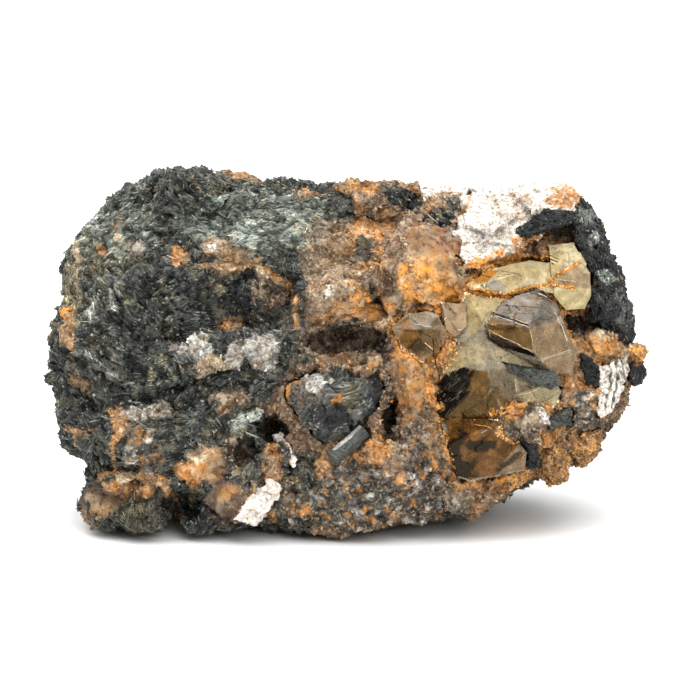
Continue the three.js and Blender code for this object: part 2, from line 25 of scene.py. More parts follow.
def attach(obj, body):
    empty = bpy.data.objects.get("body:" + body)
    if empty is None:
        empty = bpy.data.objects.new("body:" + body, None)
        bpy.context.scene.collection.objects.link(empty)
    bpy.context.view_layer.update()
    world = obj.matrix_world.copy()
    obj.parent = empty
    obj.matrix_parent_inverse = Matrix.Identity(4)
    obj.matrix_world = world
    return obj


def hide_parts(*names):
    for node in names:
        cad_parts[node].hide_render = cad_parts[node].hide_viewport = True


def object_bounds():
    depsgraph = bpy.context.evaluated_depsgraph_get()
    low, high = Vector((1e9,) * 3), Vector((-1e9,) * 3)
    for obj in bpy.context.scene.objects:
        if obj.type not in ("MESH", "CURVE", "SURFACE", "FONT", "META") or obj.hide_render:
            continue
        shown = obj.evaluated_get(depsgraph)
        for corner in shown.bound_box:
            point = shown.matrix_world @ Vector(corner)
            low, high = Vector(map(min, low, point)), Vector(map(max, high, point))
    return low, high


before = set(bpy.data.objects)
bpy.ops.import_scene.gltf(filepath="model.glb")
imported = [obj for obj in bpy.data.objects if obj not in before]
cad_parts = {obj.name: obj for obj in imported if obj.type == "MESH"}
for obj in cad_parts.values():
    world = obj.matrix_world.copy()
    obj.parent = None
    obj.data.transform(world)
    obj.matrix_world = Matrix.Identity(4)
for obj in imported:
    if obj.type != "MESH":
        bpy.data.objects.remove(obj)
CAD_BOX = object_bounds()

MM = 0.001
BODY = "root"
CRYSTALS = ("titanite_main", "titanite_upper", "titanite_small", "titanite_left")
log = logging.getLogger("rough_titanite")


class Tone(Enum):
    """Colours of the specimen, as sRGB hex values; some stand for painted light or shade, as noted at
    them.
    """

    FELT = "#474944"
    FELT_DARK = "#1d1f1e"
    # Painted sheen: the light on the felt's top slopes, and glints.
    SHEEN = "#7f857b"
    # Mostly painted highlights: the brightest sheen, and glints on needles and chips.
    PALE_GREEN = "#a6ada1"
    BLACK = "#101213"
    FIBRE_TAN = "#8a7f60"
    OCHRE = "#b27a3c"
    OCHRE_BRIGHT = "#d8933c"
    RUST = "#8d6137"
    RED_BROWN = "#7c4c31"
    TAN = "#9c7446"
    GRAY_TAN = "#94836c"
    CREAM = "#cdbb9c"
    WHITE = "#e6e0d6"
    GRAY_WHITE = "#b4b1a9"
    CHALK = "#bcbcb6"
    SUGAR = "#ece7de"
    CRUST = "#77583f"
    PURPLE_BROWN = "#523d33"
    BROWN = "#4b3424"
    UMBER = "#281c15"
    # Painted shade of deep recesses, over the rock's own dark brown.
    CAVE = "#2c2019"
    OLIVE = "#4f4c38"
    SALT = "#54524c"
    PINK = "#c3a994"
    HONEY = "#f0dca4"
    STRAW = "#f6e4b4"
    OLIVE_GOLD = "#e2ca92"
    SMOKE = "#bda17e"
    SMOKE_GRAY = "#8a8378"
    TAUPE = "#a5957c"
    BRONZE = "#806130"
    CLOUD = "#d3c7ab"
    AMBER = "#744b19"
    AMBER_DARK = "#170e08"
    INKY = "#0a0706"


def linear(tone: Tone | str) -> tuple[float, float, float, float]:
    """Turns an sRGB hex colour to linear values.

    Args:
        tone: A tone or its hex code.

    Returns:
        Red, green, blue and a full alpha.
    """
    code = tone.value if isinstance(tone, Tone) else tone
    parts = [int(code[i:i + 2], 16) / 255 for i in (1, 3, 5)]
    bent = [c / 12.92 if c <= 0.04045 else ((c + 0.055) / 1.055) ** 2.4 for c in parts]
    return (*bent, 1.0)


def rgb(tone: Tone) -> np.ndarray:
    """Gives a tone's linear red, green and blue."""
    return np.array(linear(tone)[:3])


def tint(colours: np.ndarray, other: Tone | np.ndarray, share: np.ndarray) -> None:
    """Moves points' colours towards another colour, in place.

    Args:
        colours: Each point's linear colour.
        other: The other colour, one for all the points or one for each.
        share: How far each point's colour moves, from 0 to 1.
    """
    goal = rgb(other) if isinstance(other, Tone) else other
    colours += (goal - colours) * share[:, None]


@dataclass(frozen=True)
class FrontView:
    """The front as it is looked at: u right, v up and w away, in mm, leaned back by the eye's angle."""

    lean_deg: float = 12.0
    origin_u: float = -0.58
    origin_w: float = 6.52
    base_drop: float = 1.7
    ring_foot: float = -7.0
    ring_top: float = 3.0
    height: float = 60.0

    def to_view(self, points: np.ndarray) -> np.ndarray:
        """Gives u, v, w of points in mm of the frame."""
        sine, cosine = math.sin(math.radians(self.lean_deg)), math.cos(math.radians(self.lean_deg))
        back, up = points[:, 1] + self.origin_w, points[:, 2] + self.base_drop
        return np.column_stack(
            (points[:, 0] + self.origin_u, back * sine + up * cosine, back * cosine - up * sine)
        )

    def to_frame(self, view: np.ndarray) -> np.ndarray:
        """Gives points in mm of the frame for u, v, w."""
        sine, cosine = math.sin(math.radians(self.lean_deg)), math.cos(math.radians(self.lean_deg))
        back = view[:, 1] * sine + view[:, 2] * cosine
        up = view[:, 1] * cosine - view[:, 2] * sine
        return np.column_stack(
            (view[:, 0] - self.origin_u, back - self.origin_w, up - self.base_drop)
        )

    def turn_to_frame(self, direction: tuple[float, float, float]) -> np.ndarray:
        """Gives a unit direction of the frame for one of the view."""
        ends = self.to_frame(np.array([(0.0, 0.0, 0.0), direction]))
        along = ends[1] - ends[0]
        return along / np.linalg.norm(along)

    def frontness(self, view: np.ndarray) -> np.ndarray:
        """Gives 1 on the side that faces the viewer, fading to 0 behind the widest outline."""
        ring = self.ring_foot + (self.ring_top - self.ring_foot) * view[:, 1] / self.height
        return fade(view[:, 2] - ring, 5.0, -3.0)


VIEW = FrontView()


def fade(values: np.ndarray, low: float, high: float) -> np.ndarray:
    """Rises smoothly from 0 at low to 1 at high, which may be the lower of the two."""
    share = np.clip((values - low) / (high - low), 0.0, 1.0)
    return share * share * (3 - 2 * share)


def dice(cells: np.ndarray, channel: int) -> np.ndarray:
    """Gives a repeatable number from 0 to 1 for each whole-number cell.

    Args:
        cells: Whole x, y and z of each cell.
        channel: Which of many numbers of a cell is wanted.

    Returns:
        One number for each cell.
    """
    x, y, z = (cells[:, i].astype(np.int64).astype(np.uint32) for i in range(3))
    with np.errstate(over="ignore"):
        mixed = x * np.uint32(374761393) + y * np.uint32(668265263) + z * np.uint32(2246822519)
        mixed = mixed + np.uint32((channel * 3266489917 + 1013904223) % 2**32)
        mixed = (mixed ^ (mixed >> np.uint32(13))) * np.uint32(1274126177)
        mixed = (mixed ^ (mixed >> np.uint32(15))) * np.uint32(2246822519)
        mixed = mixed ^ (mixed >> np.uint32(16))
    return mixed.astype(np.float64) / 2**32


def waves(points: np.ndarray, channel: int = 0, octaves: int = 1) -> np.ndarray:
    """Gives smooth noise from about -1 to 1.

    Args:
        points: Places, in units of the noise's own grain.
        channel: Which of many noises is wanted.
        octaves: How many finer copies are added, each half as strong.

    Returns:
        One value for each point.
    """
    total = np.zeros(len(points))
    strength, weight = 1.0, 0.0
    for octave in range(octaves):
        at = points * 2.0**octave
        base = np.floor(at)
        part = at - base
        part = part * part * (3 - 2 * part)
        for corner in itertools.product((0, 1), repeat=3):
            near = np.prod(np.where(np.array(corner) == 1, part, 1 - part), axis=1)
            total += strength * near * (dice(base + corner, channel + 31 * octave) * 2 - 1)
        weight += strength
        strength *= 0.5
    return total / weight * 1.6


def cells_at(
    points: np.ndarray, size: float, channel: int,
) -> tuple[np.ndarray, np.ndarray, np.ndarray]:
    """Finds the broken cell that holds each point.

    Args:
        points: Places in mm.
        size: Mean width of a cell in mm.
        channel: Which of many patterns of cells is wanted.

    Returns:
        Each point's cell, its place from the cell's middle in mm, and its distance from the
        cell's edge in mm.
    """
    scaled = points / size
    base = np.floor(scaled)
    nearest = np.full(len(points), np.inf)
    second = np.full(len(points), np.inf)
    cell = np.zeros_like(points)
    offset = np.zeros_like(points)
    for step in itertools.product((-1, 0, 1), repeat=3):
        candidate = base + step
        middle = candidate + np.column_stack([dice(candidate, channel + i) for i in range(3)])
        away = scaled - middle
        distance = np.linalg.norm(away, axis=1)
        closer = distance < nearest
        second = np.where(closer, nearest, np.minimum(second, distance))
        nearest = np.where(closer, distance, nearest)
        cell[closer] = candidate[closer]
        offset[closer] = away[closer]
    return cell, offset * size, (second - nearest) * size


def broken(points: np.ndarray, size: float, depth: float, tilt: float, channel: int) -> np.ndarray:
    """Gives the height of a surface that has broken into tilted facets.

    Args:
        points: Places in mm.
        size: Mean width of a facet in mm.
        depth: How proud or low a facet may stand in mm.
        tilt: How steeply a facet may lean.
        channel: Which of many patterns is wanted.

    Returns:
        One height in mm for each point.
    """
    cell, offset, _ = cells_at(points, size, channel)
    lean = np.column_stack([dice(cell, channel + 7 + i) * 2 - 1 for i in range(3)])
    proud = dice(cell, channel + 11) * 2 - 1
    return proud * depth + tilt * np.sum(lean * offset, axis=1)


def unit(vectors: np.ndarray) -> np.ndarray:
    """Scales each vector to a length of 1."""
    return vectors / np.maximum(np.linalg.norm(vectors, axis=1, keepdims=True), 1e-9)


def only(piece: bpy.types.Object) -> None:
    """Makes a piece the only selected one, and the active one."""
    bpy.ops.object.select_all(action="DESELECT")
    piece.select_set(True)
    bpy.context.view_layer.objects.active = piece


def finish_with(piece: bpy.types.Object, kind: str, **settings: object) -> None:
    """Adds a modifier with its settings and applies it."""
    only(piece)
    modifier = piece.modifiers.new(kind.lower(), kind)
    for name, value in settings.items():
        setattr(modifier, name, value)
    bpy.ops.object.modifier_apply(modifier=modifier.name)


def copy_of(node: str, name: str) -> bpy.types.Object:
    """Makes a new piece from a solid of the frame, with its corners merged.

    Args:
        node: The solid's name.
        name: The new piece's name.

    Returns:
        The new piece.
    """
    piece = bpy.data.objects.new(name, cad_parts[node].data.copy())
    bpy.context.scene.collection.objects.link(piece)
    piece.data.name = name
    piece.data.materials.clear()
    only(piece)
    bpy.ops.object.mode_set(mode="EDIT")
    bpy.ops.mesh.select_all(action="SELECT")
    bpy.ops.mesh.remove_doubles(threshold=0.002 * MM)
    bpy.ops.mesh.customdata_custom_splitnormals_clear()
    bpy.ops.object.mode_set(mode="OBJECT")
    return piece


def points_of(piece: bpy.types.Object) -> np.ndarray:
    """Gives a piece's points in mm."""
    flat = np.empty(len(piece.data.vertices) * 3)
    piece.data.vertices.foreach_get("co", flat)
    return flat.reshape(-1, 3) / MM


def normals_of(piece: bpy.types.Object) -> np.ndarray:
    """Gives the outward direction at each of a piece's points."""
    flat = np.empty(len(piece.data.vertices) * 3)
    piece.data.vertex_normals.foreach_get("vector", flat)
    return flat.reshape(-1, 3)


def move_points(piece: bpy.types.Object, points: np.ndarray) -> None:
    """Puts a piece's points at new places in mm."""
    piece.data.vertices.foreach_set("co", (points * MM).ravel())
    piece.data.update()


def keep_values(piece: bpy.types.Object, name: str, values: np.ndarray) -> None:
    """Stores one number, vector or colour at each point of a piece.

    Args:
        piece: The piece.
        name: The attribute's name. A tone is a colour, and its alpha is added.
        values: One number or one row of three for each point.
    """
    kind, key = ("FLOAT", "value") if values.ndim == 1 else ("FLOAT_VECTOR", "vector")
    if name == "tone":
        kind, key = "FLOAT_COLOR", "color"
        values = np.column_stack((values, np.ones(len(values))))
    attribute = piece.data.attributes.new(name, kind, "POINT")
    attribute.data.foreach_set(key, np.ascontiguousarray(values, dtype=np.float32).ravel())


def refine(piece: bpy.types.Object, longest_mm: float) -> None:
    """Splits a piece's long edges, with its facets kept flat.

    Args:
        piece: The piece.
        longest_mm: The longest edge that stays.
    """
    shape = bmesh.new()
    shape.from_mesh(piece.data)
    for _ in range(8):
        long = [edge for edge in shape.edges if edge.calc_length() > longest_mm * MM]
        if not long:
            break
        bmesh.ops.subdivide_edges(shape, edges=long, cuts=1)
        bmesh.ops.triangulate(shape, faces=[f for f in shape.faces if len(f.verts) > 3])
    shape.to_mesh(piece.data)
    shape.free()


def put_in_place(
    piece: bpy.types.Object, material: bpy.types.Material, slot: str, *nodes: str,
) -> None:
    """Dresses a piece and fixes it to the specimen, in place of the nodes that it stands for.

    Args:
        piece: The piece.
        material: Its material.
        slot: Not used.
        nodes: The solids that it replaces.
    """
    piece.data.materials.append(material)
    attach(piece, BODY)
    if nodes:
        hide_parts(*nodes)
    log.info("%s: %d points, %d faces", piece.name, len(piece.data.vertices), len(piece.data.polygons))


@dataclass(frozen=True)
class Patch:
    """An oval of the front in one colour: middle, half sizes and depth in mm, turn in degrees."""

    u: float
    v: float
    ru: float
    rv: float
    tone: Tone
    felt: float = 0.0
    turn: float = 0.0
    strength: float = 1.0
    sink: float = 0.0

    def cover(self, view: np.ndarray, wobble: np.ndarray) -> np.ndarray:
        """Gives how fully the patch covers each point, with a frayed edge.

        Args:
            view: Each point's u, v and w.
            wobble: Each point's noise, which frays the edge.

        Returns:
            A share from 0 to 1 for each point.
        """
        turn = math.radians(self.turn)
        du, dv = view[:, 0] - self.u, view[:, 1] - self.v
        along = (du * math.cos(turn) + dv * math.sin(turn)) / self.ru
        across = (dv * math.cos(turn) - du * math.sin(turn)) / self.rv
        fray = min(0.55, 1.3 / min(self.ru, self.rv))
        return self.strength * fade(np.hypot(along, across) + wobble * fray, 1.12, 0.88)


@dataclass(frozen=True)
class Stroke:
    """A crack, vein or groove of the front: the places that it runs through, width and depth in mm."""

    line: tuple[tuple[float, float], ...]
    width: float
    tone: Tone
    felt: float = 0.0
    sink: float = 0.0
    strength: float = 1.0

    def cover(self, view: np.ndarray, wobble: np.ndarray) -> np.ndarray:
        """Gives how fully the stroke covers each point."""
        flat = view[:, :2]
        nearest = np.full(len(view), np.inf)
        for first, last in zip(self.line, self.line[1:]):
            start, run = np.array(first), np.subtract(last, first)
            share = np.clip((flat - start) @ run / (run @ run), 0.0, 1.0)
            away = np.linalg.norm(flat - start - share[:, None] * run, axis=1)
            nearest = np.minimum(nearest, away)
        half = 0.5 * self.width
        return self.strength * fade(nearest + 0.5 * half * wobble, half + 0.16, half - 0.1)


@dataclass(frozen=True)
class Facet:
    """A flat face or a straight-edged place in one colour: its corners in mm, going anticlockwise."""

    corners: tuple[tuple[float, float], ...]
    tone: Tone
    felt: float = 0.0
    strength: float = 1.0
    sink: float = 0.0

    def cover(self, view: np.ndarray, wobble: np.ndarray) -> np.ndarray:
        """Gives how fully the face covers each point."""
        depth = np.full(len(view), np.inf)
        for first, last in zip(self.corners, self.corners[1:] + self.corners[:1]):
            run = np.subtract(last, first) / math.dist(first, last)
            inward = (view[:, 1] - first[1]) * run[0] - (view[:, 0] - first[0]) * run[1]
            depth = np.minimum(depth, inward)
        return self.strength * fade(depth + 0.1 * wobble, -0.12, 0.12)


Mark = Patch | Stroke | Facet


@dataclass(frozen=True)
class Hairline:
    """A fine crack or a painted edge highlight of a crystal: the places that it runs through, and its
    width in mm.
    """

    line: tuple[tuple[float, float], ...]
    width: float
    tone: Tone


T = Tone
PALE_WINDOW = ((27, 23.6), (27.6, 19.8), (30.4, 20.6), (34.6, 20.2), (35, 24.2), (31.7, 24.6))
ROCK_MARKS = (
    # Painted light: the sheen and pale green patches lighten the felt's top slopes where light falls from
    # above, brightest at painted highlights.
    Patch(-15.6, 51.4, 14.5, 5.4, T.SHEEN, 1, -3, 0.95),
    Patch(-15.9, 49.4, 3.2, 2.1, T.PALE_GREEN, 0.9, 0, 0.6),
    Patch(-6, 49.5, 4, 5, T.SHEEN, 0.8, -20, 0.6),
    Patch(-38, 51, 8, 5.4, T.SHEEN, 1, 30, 0.5),
    Patch(-30, 53.4, 5, 2.4, T.FELT_DARK, 1, -20, 0.5),
    Patch(-41, 50, 4.4, 4, T.PALE_GREEN, 0.9, 0, 0.35),
    Patch(-44, 46.4, 3, 4, T.FIBRE_TAN, 0.9, 0, 0.3),
    Patch(-40.6, 44.6, 6, 2, T.FIBRE_TAN, 0.9, 8, 0.25),
    Patch(-46.4, 38, 1.5, 8, T.FIBRE_TAN, 0.8, 0, 0.6),
    Patch(-46.9, 34, 1.2, 3, T.TAN, 0.3),
    Patch(-28.3, 46, 2, 1.6, T.OCHRE),
    Patch(-22.4, 47.6, 2.4, 1.7, T.PINK, 0, 0, 0.7),
    Patch(-19.6, 46, 2.6, 2.4, T.TAN, 0.3, 0, 0.6),
    Patch(-23, 47.2, 0.7, 0.6, T.WHITE),
    Patch(-24, 45.3, 1, 0.9, T.BLACK, 0, 0, 1, 1.2),
    Patch(-21.3, 42.5, 1.2, 1.2, T.BLACK, 0, 0, 1, 1.4),
    Patch(-35.6, 47.8, 1.3, 1.1, T.GRAY_WHITE, 0.4),
    Patch(-39.4, 39.8, 0.9, 1, T.GRAY_WHITE, 0.4),
    Patch(-42.8, 37.6, 0.5, 2.2, T.GRAY_WHITE, 0.7, -10),
    Patch(-29.9, 35.5, 0.6, 1.3, T.GRAY_WHITE, 0.5),
    Patch(-4, 50.8, 1.6, 1.1, T.GRAY_WHITE),
    Patch(-29, 36.5, 12, 7, T.FELT_DARK, 1, 0, 0.6),
    # Painted shade: this dark felt patch darkens the hollow in the felt.
    Patch(-16.7, 38.7, 8.5, 5, T.FELT_DARK, 0.8, 0, 0.8, 0.8),
    Patch(-16.6, 38.4, 1.1, 3.8, T.BLACK, 1),
    Patch(-19.6, 34.8, 1.6, 1.1, T.OCHRE),
    Patch(-13.9, 41.6, 1.8, 2.1, T.CREAM),
    Patch(-37.4, 34, 2.2, 1.4, T.BLACK, 1, -30, 0.8, 0.7),
    Patch(-32.4, 40.2, 1.7, 1.1, T.BLACK, 1, 20, 0.8, 0.7),
    Patch(-30.4, 33, 2.6, 1.3, T.BLACK, 1, -12, 0.8, 0.7),
    Patch(-23, 35.6, 2.2, 1.5, T.BLACK, 1, 24, 0.9, 0.8),
    Patch(-36.6, 28.8, 1.8, 1, T.BLACK, 1, -30, 0.8, 0.6),
    Patch(-32.8, 26.6, 2.2, 0.9, T.BLACK, 1, -20, 0.8, 0.6),
    Patch(-28, 20.4, 2.4, 1, T.BLACK, 1, 20, 0.8, 0.6),
    Patch(-43.4, 20.6, 1.6, 1, T.BLACK, 1, -10, 0.8, 0.6),
    Patch(-12.8, 42.7, 1, 0.8, T.BLACK),
    Patch(-13, 39.4, 2.9, 2, T.UMBER),
    Patch(-9.6, 34.6, 3, 2.4, T.SALT, 0.5, 0, 0.8),
    Patch(-41.8, 27.4, 5, 3.6, T.SALT, 0.9, -30, 0.6),
    Patch(-28, 30.6, 1.4, 0.9, T.CHALK),
    Patch(-24.8, 30.9, 2.1, 2.1, T.CHALK, 0, 0, 1, -0.4),
    Patch(-18.6, 29.4, 1.5, 2.3, T.CHALK, 0, -20, 1, -0.3),
    Patch(-14.6, 30, 2.4, 2.9, T.CHALK, 0, -24, 1, -0.4),
    Patch(-23.3, 27.5, 2.3, 1.7, T.CREAM, 0, 0, 1, -0.3),
    Patch(-44.9, 24.6, 2.2, 1.2, T.TAN, 0.2, -30, 0.6),
    Patch(-38, 18.1, 1.3, 2.4, T.OCHRE),
    Patch(-35.5, 19.7, 1.8, 1, T.GRAY_WHITE, 0, 0, 1, -0.3),
    Patch(-31.7, 20.4, 1.8, 1.4, T.GRAY_WHITE, 0, 0, 1, -0.3),
    Patch(-34, 13.6, 3.6, 4.2, T.SALT, 0.5),
    Patch(-36.4, 12, 1.4, 2, T.GRAY_WHITE, 0.1, 0, 0.8),
    Patch(-35.3, 8, 5.8, 2.7, T.OCHRE),
    Patch(-37, 9.2, 2.4, 1, T.CREAM),
    # Painted shade: umber darkens the small hole.
    Patch(-35.4, 8.2, 1.2, 0.8, T.UMBER, 0, 0, 1, 1.2),
    Patch(-41.4, 5.3, 3.5, 2, T.CRUST),
    Patch(-42, 3, 2.6, 1.6, T.TAN),
    Patch(-35.2, 2.9, 3.2, 2.9, T.OLIVE, 0.8),
    Patch(-30.4, 5.7, 3, 2.4, T.BLACK, 0.6),
    Patch(-25.4, 4.8, 2.2, 3.1, T.BLACK, 1, 15),
    Patch(-24.3, 10.9, 4.2, 3.1, T.OCHRE, 0, -6),
    Patch(-25.6, 12.6, 2, 1, T.CREAM),
    Patch(-21.8, 11.6, 1.6, 1.8, T.TAN),
    Patch(-18.4, 12.7, 2.2, 3.4, T.UMBER, 0, 0, 1, 0.4),
    Patch(-20.8, 5.7, 3.4, 3.6, T.PURPLE_BROWN),
    Patch(-20.6, 6.8, 2, 1, T.OCHRE, 0, 40),
    Patch(-19.2, 20.9, 2.8, 2.2, T.CRUST),
    Patch(-20.6, 22.4, 2.6, 1.6, T.GRAY_TAN),
    Stroke(((-21.7, 17.8), (-16, 21.4), (-12, 24)), 1.7, T.FELT_DARK, 0.9, -0.4),
    Stroke(((-19.3, 17.8), (-16.4, 19.6), (-13.2, 20.5)), 1.7, T.PALE_GREEN, 0.7, -0.3),
    Patch(-13.2, 18.7, 1.7, 3.6, T.BLACK, 0, -20, 1, 1.2),
    Patch(-12.6, 11.9, 1.9, 3.3, T.OCHRE),
    Patch(-7.5, 16, 3.9, 3.3, T.CRUST, 0.4),
    Patch(-3, 21, 9.6, 7.4, T.CRUST, 0.1),
    Patch(0.6, 9.7, 4.4, 2.3, T.FELT_DARK, 0.5),
    Patch(-3, 6, 4.6, 3, T.SALT, 0.3),
    Patch(-9.6, 6.4, 3, 3, T.OLIVE, 0.3),
    Patch(6.3, 13.3, 2.1, 2.8, T.OCHRE_BRIGHT),
    Patch(-8.4, 3.6, 5, 2.4, T.SALT, 0.3),
    Patch(10.9, 9.6, 6, 7.6, T.CRUST, 0, 0, 0.9),
    Patch(9.4, 14.6, 2.6, 2.2, T.OCHRE, 0, 0, 0.7),
    Patch(13.4, 10.6, 2, 3, T.GRAY_TAN, 0, 0, 0.8),
    Patch(11.3, 12.6, 1.7, 3.2, T.BLACK, 0.3, 8, 1, 0.6),
    Patch(12.6, 7.2, 2.8, 2.4, T.SALT, 0.2),
    Patch(7.6, 3.1, 2.8, 2.4, T.GRAY_WHITE),
    Patch(2.6, 3.4, 3, 1.8, T.FELT_DARK, 0.5),
    Patch(-4, 45, 4.4, 7.5, T.GRAY_TAN, 0.2, 10, 0.8),
    Patch(-1.6, 48, 3, 3.6, T.TAN, 0.1, 0, 0.6),
    Patch(1.6, 37.3, 4.4, 2.6, T.OCHRE_BRIGHT, 0, 8, 1, -0.3),
    # Painted shade: the dark recess under the ochre ledge, over the rock's own brown.
    Patch(0, 31.4, 8, 4, T.CAVE, 0, 4, 1, 0.9),
    Patch(-2, 28.8, 3.4, 1.1, T.RUST, 0, 0, 0.8),
    Patch(3.6, 29.4, 2.4, 1.2, T.BROWN),
    Patch(4, 39.6, 0.8, 2.2, T.BLACK, 0.8, 20),
    Patch(6.8, 45.7, 1.2, 1.3, T.PINK),
    Patch(1.6, 45.7, 1, 0.8, T.WHITE),
    Patch(-3.4, 40.4, 0.9, 0.9, T.WHITE),
    Patch(2.4, 46.6, 1.6, 2.2, T.FELT_DARK, 0.5, -20),
    Patch(7.3, 40.9, 2.4, 4.8, T.BROWN),
    Patch(8, 47.5, 2.4, 3.4, T.CRUST),
    Patch(13.7, 47.2, 4.6, 4, T.RUST, 0, -30),
    Patch(13.2, 41.4, 5.2, 4.8, T.OCHRE_BRIGHT),
    Patch(15.2, 37.6, 3.6, 1.8, T.OCHRE_BRIGHT),
    Patch(4.3, 55.6, 3.2, 2.4, T.PURPLE_BROWN),
    Patch(1, 57, 3.4, 1.2, T.OCHRE),
    Patch(8.8, 55.9, 3.2, 2.2, T.FELT_DARK, 1, -30),
    Patch(16.4, 51.8, 4, 1.5, T.BLACK, 1, -22),
    Patch(16.5, 48.7, 2.1, 2, T.RED_BROWN),
    Patch(9.8, 25.9, 3.5, 7.8, T.OCHRE, 0, 4),
    # Painted shade: an umber strip darkens the crevice beside the orange blade.
    Patch(6.2, 24.5, 1.7, 8.8, T.UMBER, 0, 5, 1, 0.5),
    Patch(11.8, 19.1, 0.9, 1, T.BLACK),
    Patch(28, 26, 13, 19, T.OCHRE, 0, -4, 0.8),
    Patch(24.9, 44.3, 5.4, 1.8, T.OCHRE_BRIGHT, 0, 22),
    Facet(PALE_WINDOW, T.CREAM, 0, 1, 1.4),
    Patch(33.4, 17.4, 3, 1.8, T.OCHRE),
    Patch(29.6, 19.2, 1.4, 1.5, T.BLACK, 0.6, 40),
    Patch(31.2, 18.9, 1.1, 1.9, T.WHITE, 0, 10),
    Patch(33, 18.4, 0.6, 1.8, T.BLACK, 0.6, -16),
    Patch(39.6, 31.2, 4.8, 2.8, T.OCHRE_BRIGHT),
    Patch(36.6, 29.6, 1.6, 2, T.CREAM, 0, 0, 0.8),
    # Painted shade: black darkens the hole at the right.
    Patch(38, 34.8, 2.5, 2.1, T.BLACK, 0, 0, 1, 0.8),
    Patch(42, 33.2, 1.6, 1, T.CREAM),
    Patch(40.4, 24, 4.6, 6, T.OCHRE, 0, 0, 0.9),
    Patch(38.4, 20, 2.4, 3, T.SALT, 0.3, 0, 0.9),
    Patch(47.8, 29, 2.4, 2, T.OCHRE_BRIGHT),
    Patch(45, 21, 3, 3, T.CRUST),
    Patch(41.6, 17.6, 1.8, 1.2, T.BLACK, 0.5),
    Patch(36, 11, 6, 4.5, T.RUST),
    Patch(22.7, 5.8, 3.4, 3.1, T.RUST),
    Patch(18.1, 5.1, 1.9, 2.6, T.SALT, 0.5),
    Patch(27, 8.6, 4, 1.4, T.OCHRE_BRIGHT),
    Patch(16.4, 6.2, 3.8, 1.6, T.GRAY_TAN, 0, 0, 0.8),
    Stroke(((-20, 26.9), (-26.7, 24.6), (-34, 21.6)), 0.8, T.BLACK, 1, 0.8),
    Stroke(((-20.4, 24.6), (-24.6, 22.8), (-29.6, 21)), 0.5, T.BLACK, 1, 0.5),
    Stroke(((-36.2, 22.2), (-33.3, 21.8), (-27.5, 23.6)), 0.5, T.BLACK, 1, 0.6),
    Stroke(((-47, 22.8), (-43, 22.4)), 0.7, T.BLACK, 1, 0.7),
    Stroke(((-42.6, 17.4), (-42.4, 13.4)), 0.6, T.BLACK, 1, 0.6),
    Stroke(((-48, 17.5), (-45, 16.6), (-42.6, 17)), 0.4, T.OCHRE, 0.3, 0.2),
    Stroke(((-46, 11.8), (-43, 10.8)), 0.8, T.BLACK, 0.5, 0.8),
    Stroke(((-39.9, 20.4), (-38.2, 18), (-39.3, 14), (-39.2, 9.7)), 0.7, T.OCHRE, 0, 0.2),
    Stroke(((-39.2, 9.7), (-34.6, 10.4), (-31.6, 8.6)), 0.6, T.OCHRE_BRIGHT),
    Stroke(((-31.6, 8.6), (-28.6, 5)), 0.7, T.OCHRE),
    Stroke(((-19, 2.5), (-16, 6.4), (-15.7, 8.4)), 0.5, T.OCHRE_BRIGHT, 0, -0.3),
    Stroke(((-27.4, 8.6), (-25.4, 5.6), (-21.6, 2.4)), 0.6, T.BLACK, 1, 0.4),
    # Painted highlight: a pale green streak on the top slope.
    Stroke(((-24, 52.2), (-19, 50.6), (-14, 51.4)), 0.4, T.PALE_GREEN, 1, -0.1),
    # Painted shadow under the second crest knob, and painted shade in the notch between the knobs.
    Stroke(((-25, 57.5), (-22.6, 56.7), (-20.2, 57.1)), 1.2, T.BLACK, 1, 0.8),
    Stroke(((-27.7, 60.6), (-26.4, 58.4)), 0.5, T.BLACK, 1, 0.8),
    Stroke(((-26.4, 59.2), (-25.2, 57.4), (-23.8, 55.8)), 0.4, T.FIBRE_TAN, 0.9, -0.1),
    Stroke(((-28, 56.4), (-26.8, 56.9), (-25.2, 55.2)), 0.6, T.BLACK, 1, 0.6),
    Patch(-32.2, 56.2, 1.6, 1.3, T.BLACK, 1, 30, 0.8, 0.8),
    Patch(-35.8, 54.6, 1.3, 0.8, T.BLACK, 1, 0, 0.9, 0.8),
    # Painted sheen on a small facet at the upper left.
    Facet(((-39.6, 50), (-37.6, 50.2), (-37.2, 52.2), (-38.6, 52.8)), T.SHEEN, 0.6),
    Stroke(((-39.4, 50.8), (-38.6, 52.4)), 0.35, T.OCHRE, 0.3),
    Patch(-38.7, 49.2, 0.6, 0.9, T.CREAM, 0.2, 20),
    Patch(-41.4, 47, 0.8, 0.6, T.OCHRE, 0.2),
    Patch(-45.8, 47.4, 0.8, 1.7, T.CREAM, 0.2, 0, 0.7),
    Stroke(((-43.2, 38), (-45.7, 36.6)), 0.4, T.BLACK, 1, 0.5),
    Patch(-47.5, 36.4, 0.6, 1.4, T.OCHRE_BRIGHT),
    Stroke(((-46.2, 34.4), (-45.8, 30.4)), 0.6, T.TAN, 0.3),
    Stroke(((-34, 50.6), (-31, 49.4), (-28.4, 50.6)), 0.7, T.BLACK, 1, 0.6),
    Stroke(((-41.6, 41.4), (-38.6, 36.6)), 0.4, T.GRAY_WHITE, 1, -0.1),
    Stroke(((-40.2, 41.8), (-37.6, 37)), 0.35, T.BLACK, 1, 0.4),
    Stroke(((-44.4, 30.4), (-39.8, 26.6), (-35.6, 24.4)), 0.3, T.GRAY_WHITE, 1, -0.1),
    Stroke(((-45.2, 29), (-40.8, 25.6), (-37.4, 23.6)), 0.35, T.BLACK, 1, 0.4),
    Stroke(((-43.4, 31), (-38.4, 27.8), (-34.2, 26.4)), 0.35, T.BLACK, 1, 0.4),
    Stroke(((-14.2, 44), (-9.6, 40.6), (-8.8, 34)), 0.6, T.OCHRE, 0.2),
    Stroke(((-24.4, 44.4), (-18.6, 43.6), (-15, 45.4)), 0.8, T.TAN, 0.2),
